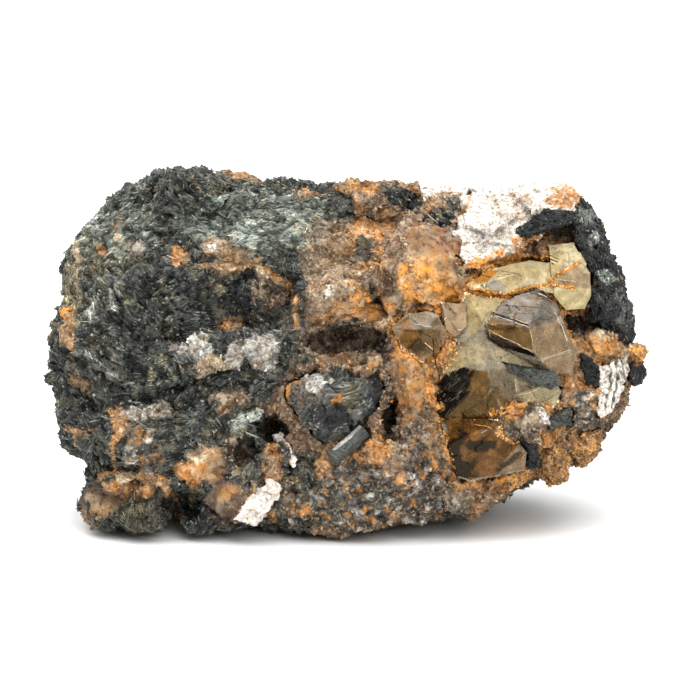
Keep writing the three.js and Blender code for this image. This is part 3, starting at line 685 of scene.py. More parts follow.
    Stroke(((-2, 35.2), (2, 34.8), (5.2, 35.4)), 0.6, T.BLACK, 0, 0.8),
    Stroke(((8.4, 36.4), (11.4, 37.8), (18.2, 36.6)), 0.5, T.BROWN, 0, 0.3),
    Stroke(((10.6, 33.4), (12.4, 27.4), (13.2, 21)), 0.5, T.OCHRE_BRIGHT, 0, -0.3),
    # Painted shade: the rock sunk behind the black column is darkened.
    Facet(((25.7, 19), (27, 11.2), (31, 11), (30.8, 14.8), (30, 19.2)), T.CAVE, 0, 1, 3.2),
)
CALM_PLACES = (
    Patch(13.7, 47.2, 4.4, 3.8, T.TAN, 0, -30), Patch(-41.4, 5.3, 3.5, 2, T.CRUST),
    Patch(-21.8, 11.6, 1.6, 1.8, T.TAN), Patch(9.8, 25.9, 3, 7, T.OCHRE, 0, 4, 0.7),
    Patch(-20.8, 5.7, 3, 3.2, T.CRUST), Patch(13.2, 41.4, 5.2, 4.8, T.OCHRE_BRIGHT, 0, 0, 0.6),
    Patch(7.3, 40.9, 2.2, 4.6, T.PURPLE_BROWN, 0, 0, 0.5),
    Patch(1.6, 37.3, 4.4, 2.4, T.OCHRE_BRIGHT, 0, 8, 0.5), Facet(PALE_WINDOW, T.STRAW),
    Patch(-24.3, 10.9, 4, 3, T.OCHRE, 0, -6, 0.6), Patch(40, 31, 4, 2.4, T.OCHRE, 0, 0, 0.5),
)
PEPPER_PLACES = (
    Patch(-34, 13.6, 3.4, 4.2, T.SALT), Patch(-8.4, 4.4, 6.4, 3.4, T.SALT), Patch(2, 5.4, 8.4, 6, T.SALT),
    Patch(13, 6.8, 4.6, 6, T.SALT), Patch(11, 14, 3.4, 4.4, T.SALT, 0, 0, 0.7),
    Patch(38.8, 20.4, 2.8, 3.6, T.SALT), Patch(-6.6, 23.4, 3.4, 3.4, T.SALT),
)
SMOOTH_FELT = (
    Patch(-17, 51.2, 14, 5.4, T.SHEEN, 1, -3), Patch(-37, 48.6, 5, 3.4, T.SHEEN, 1, 10),
    Patch(-33.5, 40.6, 7.4, 4, T.FELT, 1, -20, 0.8), Patch(-27, 58, 4, 2.4, T.FELT, 1, -50),
)
FELDSPAR_MARKS = (
    Patch(24, 52, 13, 8, T.SUGAR, 0, 0, 0.5),
    Patch(27, 54.2, 4, 2.4, T.PINK, 0, 0, 0.6),
    Patch(24, 49, 3.4, 2.6, T.GRAY_WHITE, 0, 0, 0.5),
    Patch(15.4, 54.4, 2.6, 2, T.PINK, 0, 0, 0.45),
    Patch(14, 50.6, 1.6, 1.4, T.PINK, 0, 0, 0.5),
    Patch(30.6, 53.6, 2, 1.2, T.GRAY_WHITE, 0, -20, 0.6),
    Stroke(((20.2, 56.6), (19.4, 54), (16.8, 51.2)), 0.5, T.OCHRE_BRIGHT, 0, 0.1, 0.9),
    Stroke(((23.6, 56.8), (25.2, 53), (24.4, 49.4)), 0.3, T.GRAY_TAN, 0, 0.25, 0.7),
    Stroke(((28.8, 56.4), (31.4, 54.6), (33.6, 54.2)), 0.3, T.TAN, 0, 0.25, 0.8),
    Stroke(((16.4, 47.8), (21.4, 48.4), (27, 47.4)), 0.3, T.GRAY_TAN, 0, 0.2, 0.6),
    Patch(20.4, 56.6, 1, 0.5, T.FELT_DARK),
    Patch(16.4, 51.4, 2.2, 1, T.FELT_DARK, 0.3, -25),
    Patch(35.8, 55.7, 2.6, 2, T.OCHRE),
    Patch(34.6, 57.2, 2.4, 0.8, T.OCHRE_BRIGHT),
    Patch(33, 48.4, 5, 2, T.OCHRE, 0, 12),
    Patch(36, 50.4, 1.6, 1, T.RUST),
    Patch(30.5, 49.6, 1.6, 0.8, T.RUST, 0, 20),
    Patch(22, 45, 3.6, 0.8, T.OCHRE_BRIGHT, 0, 24),
)
MAIN_MARKS = (
    Patch(26, 33, 18, 18, T.CLOUD, 0, 0, 0.7),
    Patch(24.4, 30, 7, 3.6, T.CLOUD, 0, -14, 0.8),
    Patch(16.6, 28.6, 2.2, 2, T.OLIVE_GOLD),
    Patch(20, 29.6, 2.2, 1.6, T.HONEY, 0, 0, 0.6),
    Patch(25.6, 29.4, 2.2, 1, T.STRAW, 0, -20, 0.8),
    Facet(((19.1, 39.8), (19.3, 35.2), (19.8, 32.5), (22, 34.8), (25.9, 38.8)), T.OLIVE_GOLD),
    Facet(((31.2, 28.7), (33.8, 26), (36.3, 26.5), (37.4, 28.4), (36.8, 30.4)), T.SMOKE),
    Facet(((30.4, 30.1), (31.2, 28.7), (36.8, 30.4), (36.4, 34.5), (33.6, 35.6), (29.5, 35.2)), T.SMOKE),
    Facet(
        ((23.6, 36.4), (29.4, 34), (33.6, 35), (35.6, 36.7), (34.4, 38.9), (31, 41), (27.6, 40.4),
         (25.6, 39)), T.SMOKE_GRAY,
    ),
    Facet(((22, 34.8), (22.2, 33.6), (25.1, 31.8), (30.4, 30.1), (29.5, 33.9), (23.6, 35.9)), T.BRONZE),
    Facet(((22, 33.7), (22.5, 32.3), (24.8, 30.8), (30.4, 28.9), (30.4, 30), (24.7, 32.4)), T.AMBER_DARK),
    Facet(
        ((23, 27), (23, 23.5), (24.6, 18.7), (27.8, 19.8), (31.7, 24), (31.7, 25.3), (27.3, 27.4)),
        T.TAUPE,
    ),
    Facet(((27.8, 22.7), (28.7, 20.4), (32.9, 19.8), (34.4, 20.8), (34.6, 23.7), (31.7, 24.4)), T.STRAW),
    Patch(20.6, 19, 6.6, 3.8, T.BRONZE, 0, 14),
    Patch(21, 13.6, 6.6, 6, T.AMBER),
    Facet(((17.2, 20), (22.7, 21.4), (23.1, 24.8), (22.5, 26.8), (19.6, 27.2)), T.BRONZE),
    Facet(
        ((13, 25.3), (13.4, 21.9), (14.9, 18.6), (16.9, 20), (19.6, 24.2), (20.3, 26.6), (18.8, 27.6),
         (14, 26.4)), T.INKY,
    ),
    Patch(18.4, 22.2, 2.4, 0.5, T.AMBER_DARK, 0, 46),
    Patch(18, 12, 2.6, 4.4, T.AMBER_DARK, 0, -8),
    Patch(19.6, 13.6, 1.2, 1.6, T.RUST, 0, 20, 0.8),
    Patch(21.6, 14.6, 2.4, 1, T.AMBER_DARK, 0, 10),
    Patch(21.4, 16.4, 1.6, 0.9, T.OCHRE, 0, 10, 0.8),
    Patch(25, 16.8, 1, 0.8, T.OLIVE_GOLD, 0, 0, 0.6),
    Facet(((20.2, 9.6), (24.4, 9.2), (26, 11), (24.6, 13.6), (22.2, 13.4)), T.RUST),
    Facet(((25.4, 11.6), (24.6, 9.8), (29.6, 10.6), (29.6, 13.4), (27.8, 15)), T.SMOKE),
    Stroke(((24.6, 10.6), (26.2, 11.6), (28.2, 13)), 1.1, T.FELT_DARK, 0, 0.1, 0.9),
    Stroke(((23.6, 36.4), (26.1, 35.5), (29.4, 34.2)), 0.6, T.INKY, 0, 0.2, 0.9),
    Stroke(((30.2, 40), (34.2, 38.5)), 0.7, T.UMBER, 0, 0.1, 0.8),
    # The thin cream, straw and honey strokes below are painted highlights along edges.
    Stroke(((31.4, 28.7), (33.6, 29.4), (36.4, 30.2)), 0.3, T.CREAM, 0, -0.05),
    Stroke(((27.4, 25), (31, 24.4), (34.8, 25.6)), 0.3, T.CREAM, 0, 0, 0.8),
    Stroke(((27.3, 22.8), (29.2, 23.4), (31.2, 24)), 0.3, T.STRAW, 0, -0.05),
    Stroke(((27.4, 25.4), (27.6, 23.6)), 0.5, T.STRAW, 0, 0, 0.8),
    Stroke(((24.4, 22.2), (25.2, 20.4), (24.4, 18.6)), 0.3, T.CREAM, 0, 0, 0.7),
    Stroke(((13.6, 25.6), (13.5, 22.8), (14.8, 19)), 0.35, T.CREAM),
    Stroke(((14, 26.2), (16.6, 27), (18.8, 27.8)), 0.35, T.HONEY),
    Stroke(((17.2, 9.2), (20, 8.6), (24.4, 9.4)), 0.4, T.CREAM),
)
UPPER_MARKS = (
    Patch(22, 40.6, 2.6, 3.4, T.HONEY, 0, -30),
    Patch(26.6, 42.8, 4, 1.8, T.OLIVE_GOLD, 0, 14, 0.8),
    Patch(24.2, 40.8, 1.4, 1.2, T.GRAY_WHITE, 0, 0, 0.8),
    Facet(((32.3, 41.4), (35, 41), (36, 46.6), (33.6, 47)), T.OLIVE_GOLD),
    Patch(37, 42, 3.2, 1.5, T.SMOKE, 0, -6, 0.8),
    Patch(37, 38.6, 3, 2, T.HONEY),
    Patch(21.8, 43.6, 2.4, 1.4, T.OCHRE_BRIGHT, 0, 16),
    Stroke(((19, 40.3), (22.4, 40), (26.1, 39.3), (28, 40.3)), 0.7, T.OCHRE_BRIGHT),
    Stroke(((28, 40.3), (30.5, 40.8), (32.9, 41.2), (37.2, 40.6)), 0.5, T.OCHRE_BRIGHT),
    Stroke(((24.3, 45.2), (28, 45.5), (31.1, 46.8)), 0.6, T.OCHRE_BRIGHT),
    Stroke(((32.9, 41.6), (36, 43.7), (38.2, 44.9)), 0.5, T.OCHRE_BRIGHT),
)
LEFT_MARKS = (
    Patch(11.6, 34.9, 3.8, 1.8, T.TAUPE, 0, 6),
    Patch(11.4, 31.4, 3.2, 2.4, T.BRONZE, 0, -6, 0.9),
    Patch(11, 31, 1.8, 1.2, T.AMBER_DARK, 0, 0, 0.8),
    Patch(9.4, 33, 1.2, 2.4, T.OCHRE, 0, 0, 0.6),
    Patch(14.4, 31.4, 1, 2.6, T.TAN, 0, 0, 0.7),
    Stroke(((8, 36.4), (11.2, 36.8), (14.6, 36)), 0.5, T.CREAM),
)
# Dark and tan hairlines are cracks; white, gray-white, cream, straw, olive-gold and bright ochre ones are
# painted highlights along edges.
HAIRLINES = {
    "titanite_main": (
        Hairline(((25, 37.6), (27.2, 37.6), (28, 36.9)), 0.13, T.INKY),
        Hairline(((27.4, 37.5), (30.4, 37.4), (32, 37.2), (33.2, 36.4)), 0.12, T.INKY),
        Hairline(((23.7, 36.5), (26, 35.6), (29.4, 34.4)), 0.2, T.INKY),
        Hairline(((23.6, 36.1), (26.4, 35.2), (29.5, 34)), 0.14, T.WHITE),
        Hairline(((26.5, 35.6), (29.3, 34.7)), 0.1, T.OLIVE_GOLD),
        Hairline(((22.2, 33.9), (24.6, 32.7), (27.8, 31.2), (30.2, 29.9)), 0.12, T.CREAM),
        Hairline(((22.1, 33.6), (24.6, 32.4), (27.6, 31)), 0.14, T.INKY),
        Hairline(((22.5, 32.4), (24.8, 31), (28.2, 29.9), (30.4, 29.5)), 0.16, T.INKY),
        Hairline(((29.5, 34), (30, 31.8), (30.3, 30)), 0.1, T.OLIVE_GOLD),
        Hairline(((31.2, 39.6), (33.4, 38.6)), 0.2, T.WHITE),
        Hairline(((31, 39.2), (33.6, 38.1)), 0.16, T.INKY),
        Hairline(((30.8, 40.2), (34, 39)), 0.14, T.INKY),
        Hairline(((31.4, 40.6), (34.2, 39.5)), 0.1, T.GRAY_WHITE),
        Hairline(((34.4, 35.4), (35.2, 33.8), (35.8, 31.8)), 0.12, T.WHITE),
        Hairline(((34.7, 34.4), (35.3, 32.9)), 0.16, T.INKY),
        Hairline(((33.8, 36.6), (34.6, 35.4)), 0.12, T.OLIVE_GOLD),
        Hairline(((31, 28.6), (33.6, 29.4), (36.4, 30.4)), 0.1, T.CREAM),
        Hairline(((30.6, 29.5), (31.4, 28.2)), 0.16, T.UMBER),
        Hairline(((27.2, 25.6), (27.6, 23.4)), 0.16, T.CREAM),
        Hairline(((27.9, 23), (29.6, 23.2), (31.4, 24.2)), 0.12, T.STRAW),
        Hairline(((20.6, 18), (22.4, 17.8), (23.4, 17.2)), 0.14, T.OCHRE_BRIGHT),
        Hairline(((21.6, 16.6), (22.6, 17.1)), 0.14, T.GRAY_WHITE),
        Hairline(((25.2, 18.4), (26.2, 16.2), (27.2, 14.7)), 0.13, T.TAN),
        Hairline(((13.7, 26), (13.7, 23.2), (14.8, 19)), 0.16, T.CREAM),
        Hairline(((16.4, 21.6), (18.6, 23.6)), 0.1, T.GRAY_TAN),
    ),
    "titanite_upper": (
        Hairline(((24.4, 42.4), (26.8, 42.9)), 0.12, T.UMBER),
        Hairline(((26.4, 44.2), (30.4, 45)), 0.1, T.CREAM),
        Hairline(((33, 43.2), (33.6, 40.4), (35.4, 38)), 0.12, T.CREAM),
        Hairline(((34.2, 42.2), (37.4, 41.6)), 0.12, T.CREAM),
    ),
    "titanite_small": (
        Hairline(((16, 38), (17.6, 36.6)), 0.1, T.TAUPE),
        Hairline(((16.4, 35.6), (17.6, 33.6)), 0.12, T.UMBER),
    ),
    "titanite_left": (
        Hairline(((9, 33.6), (11.6, 33.3), (13.4, 32.4)), 0.14, T.UMBER),
        Hairline(((10.6, 34.6), (13.4, 34.2)), 0.1, T.WHITE),
        Hairline(((12.4, 31.6), (13.6, 30.4)), 0.12, T.STRAW),
    ),
}


@dataclass(frozen=True)
class Lie:
    """An oval of the front where the needles lie one way: middle and half sizes in mm, turn in degrees."""

    u: float
    v: float
    ru: float
    rv: float
    turn: float


LIES = (
    Lie(-29, 57, 3.5, 5.5, -62), Lie(-23.7, 57, 5, 4.5, -38), Lie(-16.7, 51.7, 14, 5, -4),
    Lie(-38.3, 50.3, 7, 6, 35), Lie(-42.5, 38.7, 5.5, 5.5, -66), Lie(-35, 37, 7, 6, -42),
    Lie(-25, 38.7, 7, 7, 20), Lie(-40.8, 28.3, 6, 4, -34), Lie(-27.5, 24, 9, 4, 22),
    Lie(-44.7, 15.3, 4, 4.5, -20), Lie(-40.8, 12.8, 2.2, 5, 85), Lie(-30.8, 15.3, 5, 4, 24),
    Lie(-35.2, 2.8, 3.5, 3, -75), Lie(-25.3, 4.8, 2.6, 3.6, -58), Lie(-17, 21.2, 6, 4, 31),
    Lie(-7.5, 16.2, 4.5, 3.6, -30), Lie(8.3, 55.7, 4, 3, -38), Lie(16.4, 51.8, 5, 2, -25),
)


def paint(
    view: np.ndarray, tone: np.ndarray, felt: np.ndarray, marks: tuple[Mark, ...],
) -> np.ndarray:
    """Lays marks over the colours and the felt of points, in order.

    Args:
        view: Each point's u, v and w.
        tone: Each point's linear colour, changed in place.
        felt: Each point's share of felted needles, changed in place.
        marks: The patches, strokes and facets, each over those before it.

    Returns:
        How deep each point is sunk, in mm.
    """
    wobble = waves(view / 2.2, 51, 3)
    front = VIEW.frontness(view)
    sink = np.zeros(len(view))
    for mark in marks:
        cover = mark.cover(view, wobble) * front
        tint(tone, mark.tone, cover)
        felt += (mark.felt - felt) * cover
        sink += (mark.sink - sink) * cover
    return sink


def within(points: np.ndarray, places: tuple[Mark, ...]) -> np.ndarray:
    """Tells which points of the front lie in some places.

    Args:
        points: Points in mm of the frame.
        places: The places.

    Returns:
        1 for each point in one of the places, and 0 for each in none.
    """
    view = VIEW.to_view(points)
    share = np.zeros(len(points))
    for place in places:
        share = np.maximum(share, place.cover(view, np.zeros(len(points))))
    return share * VIEW.frontness(view)


def strand_frame(directions: np.ndarray) -> tuple[np.ndarray, np.ndarray]:
    """Gives two unit directions square to each direction."""
    helper = np.where(np.abs(directions[:, 2:3]) < 0.8, (0.0, 0.0, 1.0), (1.0, 0.0, 0.0))
    first = unit(np.cross(directions, helper))
    return first, np.cross(directions, first)


def strand_places(points: np.ndarray, directions: np.ndarray, length: float) -> np.ndarray:
    """Gives places in mm across and along the strands, with the length drawn together."""
    first, second = strand_frame(directions)
    return np.column_stack((
        np.sum(points * first, axis=1),
        np.sum(points * second, axis=1),
        np.sum(points * directions, axis=1) / length,
    ))


@dataclass(frozen=True)
class Bundles:
    """Bundles of needles: mean width in mm, the way that most of them lie, and their spread."""

    size_mm: float = 3.4
    lie: tuple[float, float, float] = (0.85, -0.45, -0.1)
    spread: float = 1.3
    stretch: float = 5.0

    def directions(self, points: np.ndarray) -> tuple[np.ndarray, np.ndarray]:
        """Finds how the needles lie.

        Args:
            points: Points in mm of the frame.

        Returns:
            Each point's strand direction, and its distance from its bundle's edge in mm.
        """
        warped = points + 1.6 * np.column_stack([waves(points / 5.0, 60 + i) for i in range(3)])
        cell, offset, edge = cells_at(warped, self.size_mm, 70)
        loose = np.column_stack([dice(cell, 80 + i) * 2 - 1 for i in range(3)])
        along = unit(VIEW.turn_to_frame(self.lie) + self.spread * loose)
        middle = VIEW.to_view(warped - offset)
        front = VIEW.frontness(middle)
        for lie in LIES:
            turn = math.radians(lie.turn)
            way = VIEW.turn_to_frame((math.cos(turn), math.sin(turn), 0.0))
            away = np.hypot((middle[:, 0] - lie.u) / lie.ru, (middle[:, 1] - lie.v) / lie.rv)
            along = along + (way + 0.25 * loose - along) * (front * fade(away, 1.2, 0.8))[:, None]
        return unit(along), edge


def add(
    tree: bpy.types.NodeTree, kind: str, inputs: dict | None = None, **settings: object,
) -> bpy.types.Node:
    """Adds a node with its settings, values and links.

    Args:
        tree: The node tree.
        kind: The node's type.
        inputs: Values or output sockets, by the input's name or place.
        settings: The node's own settings. Stops fill a colour ramp.

    Returns:
        The new node.
    """
    node = tree.nodes.new(kind)
    stops = settings.pop("stops", None)
    for name, value in settings.items():
        setattr(node, name, value)
    if stops:
        ramp = node.color_ramp
        while len(ramp.elements) < len(stops):
            ramp.elements.new(0.5)
        for element, (place, colour) in zip(ramp.elements, stops):
            element.position = place
            element.color = colour
    for name, value in (inputs or {}).items():
        if isinstance(value, bpy.types.NodeSocket):
            tree.links.new(value, node.inputs[name])
        else:
            node.inputs[name].default_value = value
    return node


def per_metre(size_mm: float) -> float:
    """Gives a pattern's scale for a grain of that size."""
    return 1 / (size_mm * MM)


GRAY = tuple[float, tuple[float, float, float, float]]


def gray_stops(*stops: tuple[float, float]) -> list[GRAY]:
    """Gives colour-ramp stops for plain grays."""
    return [(place, (value, value, value, 1.0)) for place, value in stops]


def new_material(name: str) -> tuple[bpy.types.Material, bpy.types.NodeTree, bpy.types.Node]:
    """Makes an empty material with its output.

    Args:
        name: The material's name.

    Returns:
        The material, its node tree and its output node.
    """
    material = bpy.data.materials.new(name)
    material.use_nodes = True
    tree = material.node_tree
    tree.nodes.clear()
    return material, tree, add(tree, "ShaderNodeOutputMaterial")


@dataclass(frozen=True)
class MineralFinish:
    """A broken or fibrous opaque mineral, coloured by the piece's own tone and felt values.

    Where felt is 1 the colour runs in streaks along the strands, with painted shade in the gaps between
    them and painted glints along them.
    Where it is 0 the surface is a crust of grains in several earthy tones, with painted shade in its
    hollows.
    """

    name: str
    grain_mm: float = 0.42
    streak_mm: float = 0.24
    roughness: float = 0.6
    crust_roughness: float = 0.85
    relief_mm: float = 0.14
    pit_shade: float = 0.75
    gloss: float = 0.3
    glint: Tone = Tone.SHEEN
    earth: Tone = Tone.GRAY_TAN
    stain: Tone = Tone.BROWN
    speck: Tone = Tone.CREAM
    shade: Tone = Tone.UMBER

    def streaked(self, tree: bpy.types.NodeTree, tone: bpy.types.Node) -> tuple[bpy.types.Node, ...]:
        """Makes the fibrous colour.

        Args:
            tree: The material's node tree.
            tone: The node that gives the piece's own colour.

        Returns:
            The fibrous colour, and the streaks that it follows.
        """
        strand = add(tree, "ShaderNodeAttribute", attribute_name="strand")
        streaks = add(tree, "ShaderNodeTexNoise", {
            "Vector": strand.outputs["Vector"], "Scale": 1 / self.streak_mm, "Detail": 3.0,
            "Roughness": 0.62,
        })
        # Painted light and shade: the ramp darkens the grooves between strands and brightens their tops,
        # and the glint tone adds painted glints.
        dark = add(tree, "ShaderNodeValToRGB", {"Fac": streaks.outputs["Fac"]},
                   stops=gray_stops((0.36, 0.15), (0.5, 0.85), (0.62, 1.5)))
        shaded = add(tree, "ShaderNodeMix", {
            0: 1.0, 6: tone.outputs["Color"], 7: dark.outputs["Color"],
        }, data_type="RGBA", blend_type="MULTIPLY")
        bright = add(tree, "ShaderNodeValToRGB", {"Fac": streaks.outputs["Fac"]},
                     stops=gray_stops((0.58, 0.0), (0.7, 0.6)))
        shaded_glinted_strands = add(tree, "ShaderNodeMix", {
            0: bright.outputs["Color"], 6: shaded.outputs[2], 7: linear(self.glint),
        }, data_type="RGBA")
        return shaded_glinted_strands, streaks

    def crusted(self, tree: bpy.types.NodeTree, tone: bpy.types.Node) -> tuple[bpy.types.Node, ...]:
        """Makes the granular colour.

        Args:
            tree: The material's node tree.
            tone: The node that gives the piece's own colour.

        Returns:
            The granular colour, and the cloudy noise that its relief follows.
        """
        place = add(tree, "ShaderNodeTexCoord")
        grains = add(tree, "ShaderNodeTexVoronoi", {
            "Vector": place.outputs["Object"], "Scale": per_metre(self.grain_mm),
        })
        cloud = add(tree, "ShaderNodeTexNoise", {
            "Vector": place.outputs["Object"], "Scale": per_metre(self.grain_mm * 2.6),
            "Detail": 6.0, "Roughness": 0.7,
        })
        value = add(tree, "ShaderNodeSeparateColor", {"Color": grains.outputs["Color"]})
        mottle = add(tree, "ShaderNodeMapRange", {
            "Value": value.outputs[0], "To Min": 0.62, "To Max": 1.28,
        })
        calm = add(tree, "ShaderNodeAttribute", attribute_name="calm")
        grainy = add(tree, "ShaderNodeMapRange", {
            "Value": calm.outputs["Fac"], "To Min": 1.0, "To Max": 0.3,
        })
        colour = add(tree, "ShaderNodeMix", {
            0: grainy.outputs[0], 6: tone.outputs["Color"], 7: mottle.outputs[0],
        }, data_type="RGBA", blend_type="MULTIPLY")
        for channel, low, high, most, other in (
            (1, 0.7, 0.85, 0.45, self.earth), (2, 0.78, 0.9, 0.5, self.stain),
            (1, 0.14, 0.08, 0.4, self.speck),
        ):
            share = add(tree, "ShaderNodeMapRange", {
                "Value": value.outputs[channel], "From Min": low, "From Max": high, "To Max": most,
            })
            share = add(tree, "ShaderNodeMath", {0: share.outputs[0], 1: grainy.outputs[0]},
                        operation="MULTIPLY")
            colour = add(tree, "ShaderNodeMix", {
                0: share.outputs[0], 6: colour.outputs[2], 7: linear(other),
            }, data_type="RGBA")
        # Painted shade: the hollows, where the cloudy noise and the relief are low, are darkened.
        low = add(tree, "ShaderNodeValToRGB", {"Fac": cloud.outputs["Fac"]},
                  stops=gray_stops((0.36, self.pit_shade), (0.47, 0.0)))
        pit_shaded = add(tree, "ShaderNodeMix", {
            0: low.outputs["Color"], 6: colour.outputs[2], 7: linear(self.shade),
        }, data_type="RGBA")
        return pit_shaded, cloud

    def material(self) -> bpy.types.Material:
        """Builds the material."""
        material, tree, output = new_material(self.name)
        tone = add(tree, "ShaderNodeAttribute", attribute_name="tone")
        felt = add(tree, "ShaderNodeAttribute", attribute_name="felt")
        shaded_glinted_strands, streaks = self.streaked(tree, tone)
        pit_shaded, cloud = self.crusted(tree, tone)
        share = add(tree, "ShaderNodeMath", {0: felt.outputs["Fac"], 1: cloud.outputs["Fac"]},
                    operation="ADD")
        kind = add(tree, "ShaderNodeMapRange", {
            "Value": share.outputs[0], "From Min": 0.9, "From Max": 1.1,
        })
        colour = add(tree, "ShaderNodeMix", {
            0: kind.outputs[0], 6: pit_shaded.outputs[2], 7: shaded_glinted_strands.outputs[2],
        }, data_type="RGBA")
        rough = add(tree, "ShaderNodeMapRange", {
            "Value": kind.outputs[0], "To Min": self.crust_roughness, "To Max": self.roughness,
        })
        height = add(tree, "ShaderNodeMix", {
            0: kind.outputs[0], 2: cloud.outputs["Fac"], 3: streaks.outputs["Fac"],
        }, data_type="FLOAT")
        relief = add(tree, "ShaderNodeBump", {
            "Height": height.outputs[0], "Distance": self.relief_mm * MM, "Strength": 1.0,
        })
        surface = add(tree, "ShaderNodeBsdfPrincipled", {
            "Base Color": colour.outputs[2], "Roughness": rough.outputs[0],
            "Normal": relief.outputs[0], "IOR": 1.6, "Specular IOR Level": self.gloss,
        })
        tree.links.new(surface.outputs[0], output.inputs["Surface"])
        return material


@dataclass(frozen=True)
class GrainFinish:
    """Loose grains or needles, each in its own tone, with a faint mottle."""

    name: str
    roughness: float = 0.7
    gloss: float = 0.35
    mottle_mm: float = 0.3
    relief_mm: float = 0.04

    def material(self) -> bpy.types.Material:
        """Builds the material."""
        material, tree, output = new_material(self.name)
        tone = add(tree, "ShaderNodeAttribute", attribute_name="tone")
        place = add(tree, "ShaderNodeTexCoord")
        cloud = add(tree, "ShaderNodeTexNoise", {
            "Vector": place.outputs["Object"], "Scale": per_metre(self.mottle_mm), "Detail": 3.0,
        })
        mottle = add(tree, "ShaderNodeMapRange", {
            "Value": cloud.outputs["Fac"], "From Min": 0.3, "From Max": 0.7,
            "To Min": 0.6, "To Max": 1.3,
        })
        colour = add(tree, "ShaderNodeMix", {
            0: 1.0, 6: tone.outputs["Color"], 7: mottle.outputs[0],
        }, data_type="RGBA", blend_type="MULTIPLY")
        relief = add(tree, "ShaderNodeBump", {
            "Height": cloud.outputs["Fac"], "Distance": self.relief_mm * MM, "Strength": 1.0,
        })
        surface = add(tree, "ShaderNodeBsdfPrincipled", {
            "Base Color": colour.outputs[2], "Roughness": self.roughness,
            "Normal": relief.outputs[0], "IOR": 1.65, "Specular IOR Level": self.gloss,
        })
        tree.links.new(surface.outputs[0], output.inputs["Surface"])
        return material


@dataclass(frozen=True)
class TitaniteFinish:
    """Gem titanite: a high index gives bright glassy faces, iron stains its depth honey brown."""

    name: str
    roughness: float = 0.1
    clear: float = 0.7
    gloss: float = 0.06
    glare: Tone = Tone.GRAY_TAN
    depth_colour: Tone = Tone.HONEY
    depth_per_m: float = 48.0
    ripple_mm: float = 1.6
    fleck_mm: float = 0.45
    relief_mm: float = 0.05

    def material(self) -> bpy.types.Material:
        """Builds the material."""
        material, tree, output = new_material(self.name)
        tone = add(tree, "ShaderNodeAttribute", attribute_name="tone")
        place = add(tree, "ShaderNodeTexCoord")
        ripple = add(tree, "ShaderNodeTexNoise", {
            "Vector": place.outputs["Object"], "Scale": per_metre(self.ripple_mm), "Detail": 6.0,
            "Roughness": 0.62,
        })
        mottle = add(tree, "ShaderNodeMapRange", {
            "Value": ripple.outputs["Fac"], "From Min": 0.3, "From Max": 0.7,
            "To Min": 0.62, "To Max": 1.35,
        })
        clouded = add(tree, "ShaderNodeMix", {
            0: 1.0, 6: tone.outputs["Color"], 7: mottle.outputs[0],
        }, data_type="RGBA", blend_type="MULTIPLY")
        # Fine flecks: the darker ones are tiny inclusions, the brighter ones painted glints.
        flecks = add(tree, "ShaderNodeTexNoise", {
            "Vector": place.outputs["Object"], "Scale": per_metre(self.fleck_mm), "Detail": 4.0,
            "Roughness": 0.7,
        })
        dim_flecks_and_glints = add(tree, "ShaderNodeValToRGB", {"Fac": flecks.outputs["Fac"]},
                   stops=gray_stops((0.34, 0.7), (0.46, 1.0), (0.6, 1.0), (0.7, 1.5)))
        colour = add(tree, "ShaderNodeMix", {
            0: 1.0, 6: clouded.outputs[2], 7: dim_flecks_and_glints.outputs["Color"],
        }, data_type="RGBA", blend_type="MULTIPLY")
        relief = add(tree, "ShaderNodeBump", {
            "Height": ripple.outputs["Fac"], "Distance": self.relief_mm * MM, "Strength": 1.0,
        })
        surface = add(tree, "ShaderNodeBsdfPrincipled", {
            "Base Color": colour.outputs[2], "Roughness": self.roughness,
            "Normal": relief.outputs[0], "IOR": 1.9, "Transmission Weight": self.clear,
            "Specular IOR Level": self.gloss, "Specular Tint": linear(self.glare),
        })
        depth = add(tree, "ShaderNodeVolumeAbsorption", {
            "Color": linear(self.depth_colour), "Density": self.depth_per_m,
        })
        tree.links.new(surface.outputs[0], output.inputs["Surface"])
        tree.links.new(depth.outputs[0], output.inputs["Volume"])
        return material


@dataclass(frozen=True)
class Spots:
    """Spots of one colour: size in mm, noise, where in it they fade in and are full, and strength."""

    tone: Tone
    size_mm: float
    channel: int
    low: float
    high: float
    most: float

    def lay(self, points: np.ndarray, tone: np.ndarray, wanted: np.ndarray) -> None:
        """Lays the spots over points' colours, in place, where they are wanted."""
        spotted = fade(waves(points / self.size_mm, self.channel, 2), self.low, self.high)
        tint(tone, self.tone, self.most * wanted * spotted)


CRUST_SPOTS = (
    Spots(T.GRAY_TAN, 1.5, 21, 0.0, 0.5, 0.6), Spots(T.BROWN, 1.1, 24, 0.2, 0.6, 0.75),
    Spots(T.CREAM, 0.9, 31, 0.35, 0.7, 0.5),
)
PEPPER_SPOTS = (
    Spots(T.FELT, 2.4, 41, -0.9, -0.1, 0.95), Spots(T.BLACK, 0.8, 42, -0.15, 0.15, 0.95),
    Spots(T.WHITE, 0.9, 43, 0.5, 0.75, 0.7), Spots(T.OCHRE_BRIGHT, 1.1, 44, 0.4, 0.65, 0.75),
)
FELT_SPOTS = (Spots(T.FIBRE_TAN, 1.4, 33, 0.3, 0.7, 0.45),)


